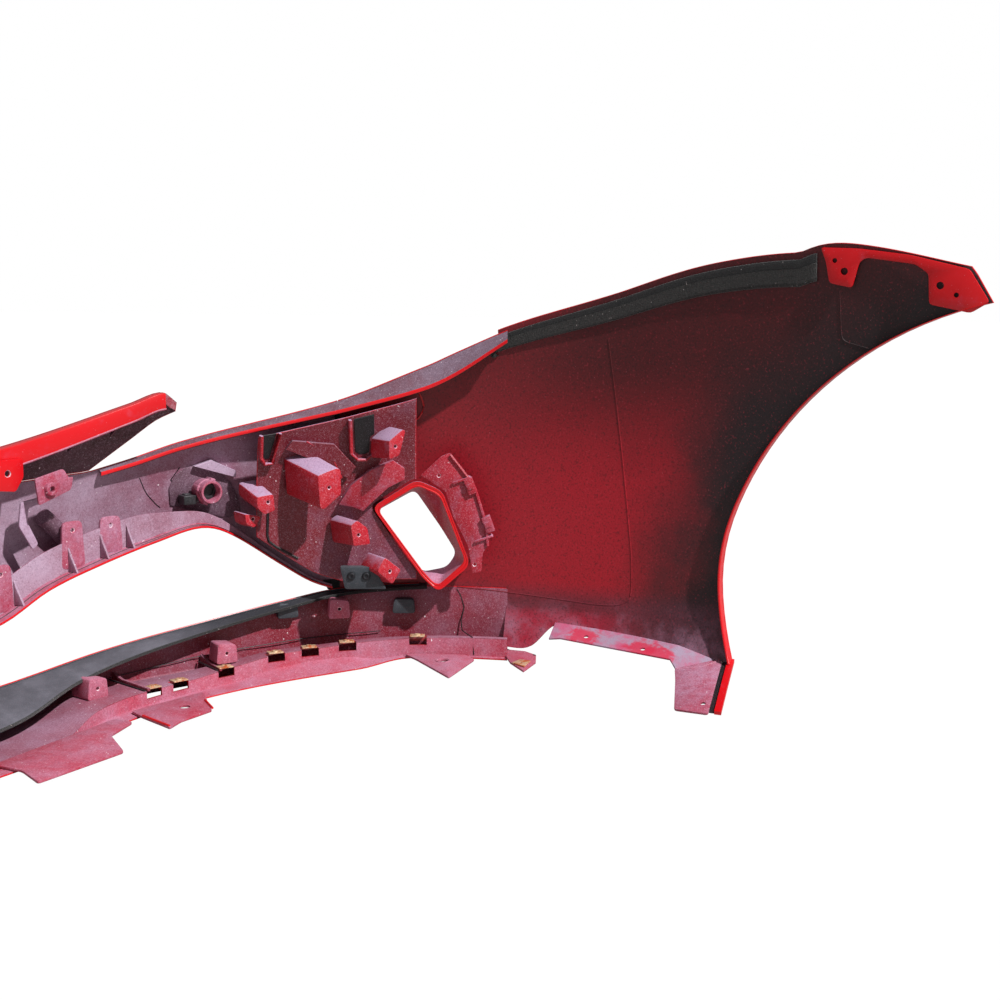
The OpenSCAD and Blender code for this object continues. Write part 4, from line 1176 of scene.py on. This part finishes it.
# ---------------------------------------------------------------- the wing
def make_wing():
    """Wing panel with its moulding seams."""
    def face(depth):
        return [[on_wing(*wing_point(s, v), depth) for v in steps(0, 1, 30)] for s in steps(0, 1, 64)]

    parts = [shell(face(0), face(WALL), [PAINT, WING, EDGE], {"high"})]
    for points, length in (([(47, 452), (77, 158), (77, 96), (33, 92), (-165, 107)], 22),
                           ([(349, 517), (352, 455), (385, 446)], 9)):
        parts.append(bead(trail(points, lambda p: on_wing(p.x, p.y, WALL - 0.1), length, 8), 0.8, [WING]))
    both("wing_skin", parts, "painted_cover")

    def edge(ahead):
        points = (wing_rear(v) for v in steps(0, 1, 72))
        return [[on_wing(p.x - ahead, p.y, d) for d in steps(WALL, ARCH_LIP, 4)] for p in points]

    both("arch_lip", shell(edge(0), edge(WALL), [EDGE, DARK_AND_SHADE, EDGE], {"high"}), "bright_edge")


def make_sill():
    edge_x, tilt = 945, 17.5
    sill = move(edge_x, 60, 61) @ turn(-5.5, "X") @ turn(-tilt, "Y")
    outer = [((on_wing(y, 58 - 0.1 * (y - 60), WALL + GRIP).x - edge_x) / math.cos(math.radians(tilt)), y - 60)
             for y in steps(-28, 150, 16)]
    outline = outer + [(-42, 92), (-49, -64), (-56, -78)]
    bores = [(-33.5, y, BOLT) for y in (-33, 49)]
    both("sill_flange", block(outline, TAB_T, sill @ move(0, 0, -WALL), [SILL_PAINT, WORN], bores, bevel=0.8))
    place = move(808, 0, 0) @ turn(-14.6, "Y")
    tab = [(0, 192), (0, 236), (138, 209), (134, 160), (98, 157), (70, 168)]
    parts = [plate(tab, 4, place, TAB, [(22, 222, BOLT)])]
    fold = [place @ Vector((x, y, TAB_T)) for x, y in ((98, 158), (112, 190), (137, 208))]
    parts.append(bead(fold, 1.2, [TAB]))
    ends = [(sill @ Vector((outer[-1][0], 89, -WALL)), sill @ Vector((-42, 91, -WALL))),
            (place @ Vector((138, 206, 0.2)), place @ Vector((99, 158, 0.2)))]
    up = Vector((0, 0, 2.6))
    parts.append(loft([[a, b, b + up, a + up] for a, b in ends], [SILL_PAINT]))
    edge = [place @ Vector((x, y, 1.5)) for x, y in ((138, 210), (69, 223.5), (4, 236.5))]
    # the first strip is painted shade, dark for the shadow in the gap between the tab and the lip; the second
    # is the lip's red edge
    for near, far, low, high, mat in ((-0.6, 6, 0, 1.2, DARK_AND_SHADE), (6, 15, -1, 3.5, EDGE)):
        corners = ((near, low), (near, high), (far, high), (far, low))
        parts.append(loft([[p + Vector((0, y, z)) for y, z in corners] for p in edge], [mat]))
    both("arch_closing_tab", parts)


def make_fender_flange():
    place = move(930, 0, 0) @ turn(-90, "Y")
    outline = [(568, 326), (566, 373), (558, 434), (541, 503), (503, 527), (490, 506), (500, 458), (536, 456),
               (547, 440), (555, 382), (550, 374), (519, 366), (525, 338), (551, 333)]
    bores = [(539, 356, 4.5), (522, 470, 4.5), (552, 344, 3), (511, 489, 3)]
    both("fender_flange", plate(outline, 4, place, EDGE, bores), "bright_edge")


def make_felt():
    """Charcoal felt with a narrow black tape along its upper edge."""
    def sheet(a, b, rows, depth):
        out = []
        for y in steps(-120, 322, 60):
            top, wide = curve(TOP, station_of(y)) - 9, 20 + 14 * (y + 120) / 440
            out.append([on_wing(y + 14 * k * (y < -110), top - k * wide, depth) for k in steps(a, b, rows)])
        return out

    face, back = WALL + GRIP, WALL + GRIP + 4
    parts = [shell(sheet(1, 0.34, 4, face), sheet(1, 0.34, 4, back), [FELT] * 3, {"low", "start", "end"}),
             shell(sheet(0.335, 0, 2, face), sheet(0.335, 0, 2, back - 0.8), [TAPE] * 3,
                   {"high", "start", "end"})]
    both("edge_felt", parts, "edge_felt")


# ---------------------------------------------------------------- small parts on the valance and beam
def make_valance_bosses():
    parts = []
    for t, inset, z, reach in ((0.236, 66, 20.3, 34), (0.411, 50, 28.4, 28), (0.576, 38, 72, 26)):
        outline = soften([(-15, 0), (15, 0), (13, 24), (-12, 27)], 4, 3)
        bore = (0, 13, BORE, 20)
        parts.append(block(outline, reach, facing_in(t, inset, z), [PAN, WORN], [bore], bevel=1.6))
    both("valance_bosses", parts)
    nuts = []
    for t in NUTS:
        here = on_plan(t, curve(STEP, t) - 9, curve(LEDGE, t) + GRIP)
        nuts.append(block(box(-10, -7, 10, 7), 1.6, here, [ZINC, ZINC], [(0, 0, BORE)], bevel=0.4))
        nuts.append(lathe([(BORE, 1.4), (4.2, 1.4), (3.8, 3.0), (BORE, 3.0)], here, [ZINC], 20))
    both("spring_nuts", nuts, "plated_nut")


def make_tabs():
    flap = [(252, -384), (252, -342), (231, -299), (353, -289), (393, -343), (446, -356), (446, -384)]
    both("undertray_flap", block(soften(flap, 5, 3), TAB_T, move(0, 0, PLATE_Z + 0.5), [PAN, WORN], bevel=0.9))
    tab = [(482, -389), (469, -360), (449, -303), (477, -309), (531, -305), (562, -336), (592, -366)]
    tray = plate(tab, 3, move(0, 0, PLATE_Z), PAN, [(526, -343, 7)])
    sides = [bead([Vector((*a, PLATE_Z + 3.4)), Vector((*b, PLATE_Z + 3.4))], 1.6, [EDGE])
             for a, b in (((471, -362), (452, -306)), ((560, -338), (536, -308)))]
    both("undertray_tab", [tray] + sides)
    tab = [(828, -207), (811, -179), (748, -94), (846, -108), (861, -131), (835, -194)]
    tab = plate(tab, 4, move(0, 0, REAR_TAB_Z), PAN, [(818, -141, 7)])
    rim = collar(circle(818, -141, 8.2, 28), 2.4, -0.5, 0.9, move(0, 0, REAR_TAB_Z + TAB_T), [PAN])
    both("jacking_tab", [tab, rim])


def make_beam_parts():
    """Bonnet tab, latch bracket and hook strap on the beam."""
    outline = [(-30, 22), (-34, -10), (10, -16), (22, 0), (22, 22)]
    tab = plate(outline, 3, facing_in(0.153, 60, 303), EDGE, [(0, 6, BOLT)], 0.9)
    both("bonnet_tab", tab, "bright_edge")
    place = facing_in(0.195, 66, 284)
    outline = [(-24, 16), (16, 24), (24, 12), (30, 14), (26, -2), (-20, -16)]
    tab = plate(outline, 3, place, TAB, [(-4, 2, BOLT)])
    here = place @ move(-4, 2, 0)
    boss = lathe([(BOLT, 1), (BOLT, -4.4), (4.2, -5), (7.2, -5), (8, -4.2), (8.6, 1)], here, [TAB], 32)
    both("latch_bracket", [tab, boss])
    hook = soften([(-10, 44), (22, 48), (20, 40), (0, 36), (-2, 20), (12, -8), (4, -14), (-14, 16)], 2.5)
    both("hook_strap", block(hook, TAB_T, facing_in(0.178, 40, 226), [STRAP], bevel=0.8))


make_studio()
for make in (make_nose, make_beak, make_rail, make_valance, make_beam_flange, make_blade, make_corner,
             make_shelf, make_lamp_support, make_bosses, make_clip_bracket, make_sensor, make_blade_bracket,
             make_wing, make_sill, make_fender_flange, make_felt, make_valance_bosses, make_tabs,
             make_beam_parts):
    make()
bpy.context.view_layer.update()
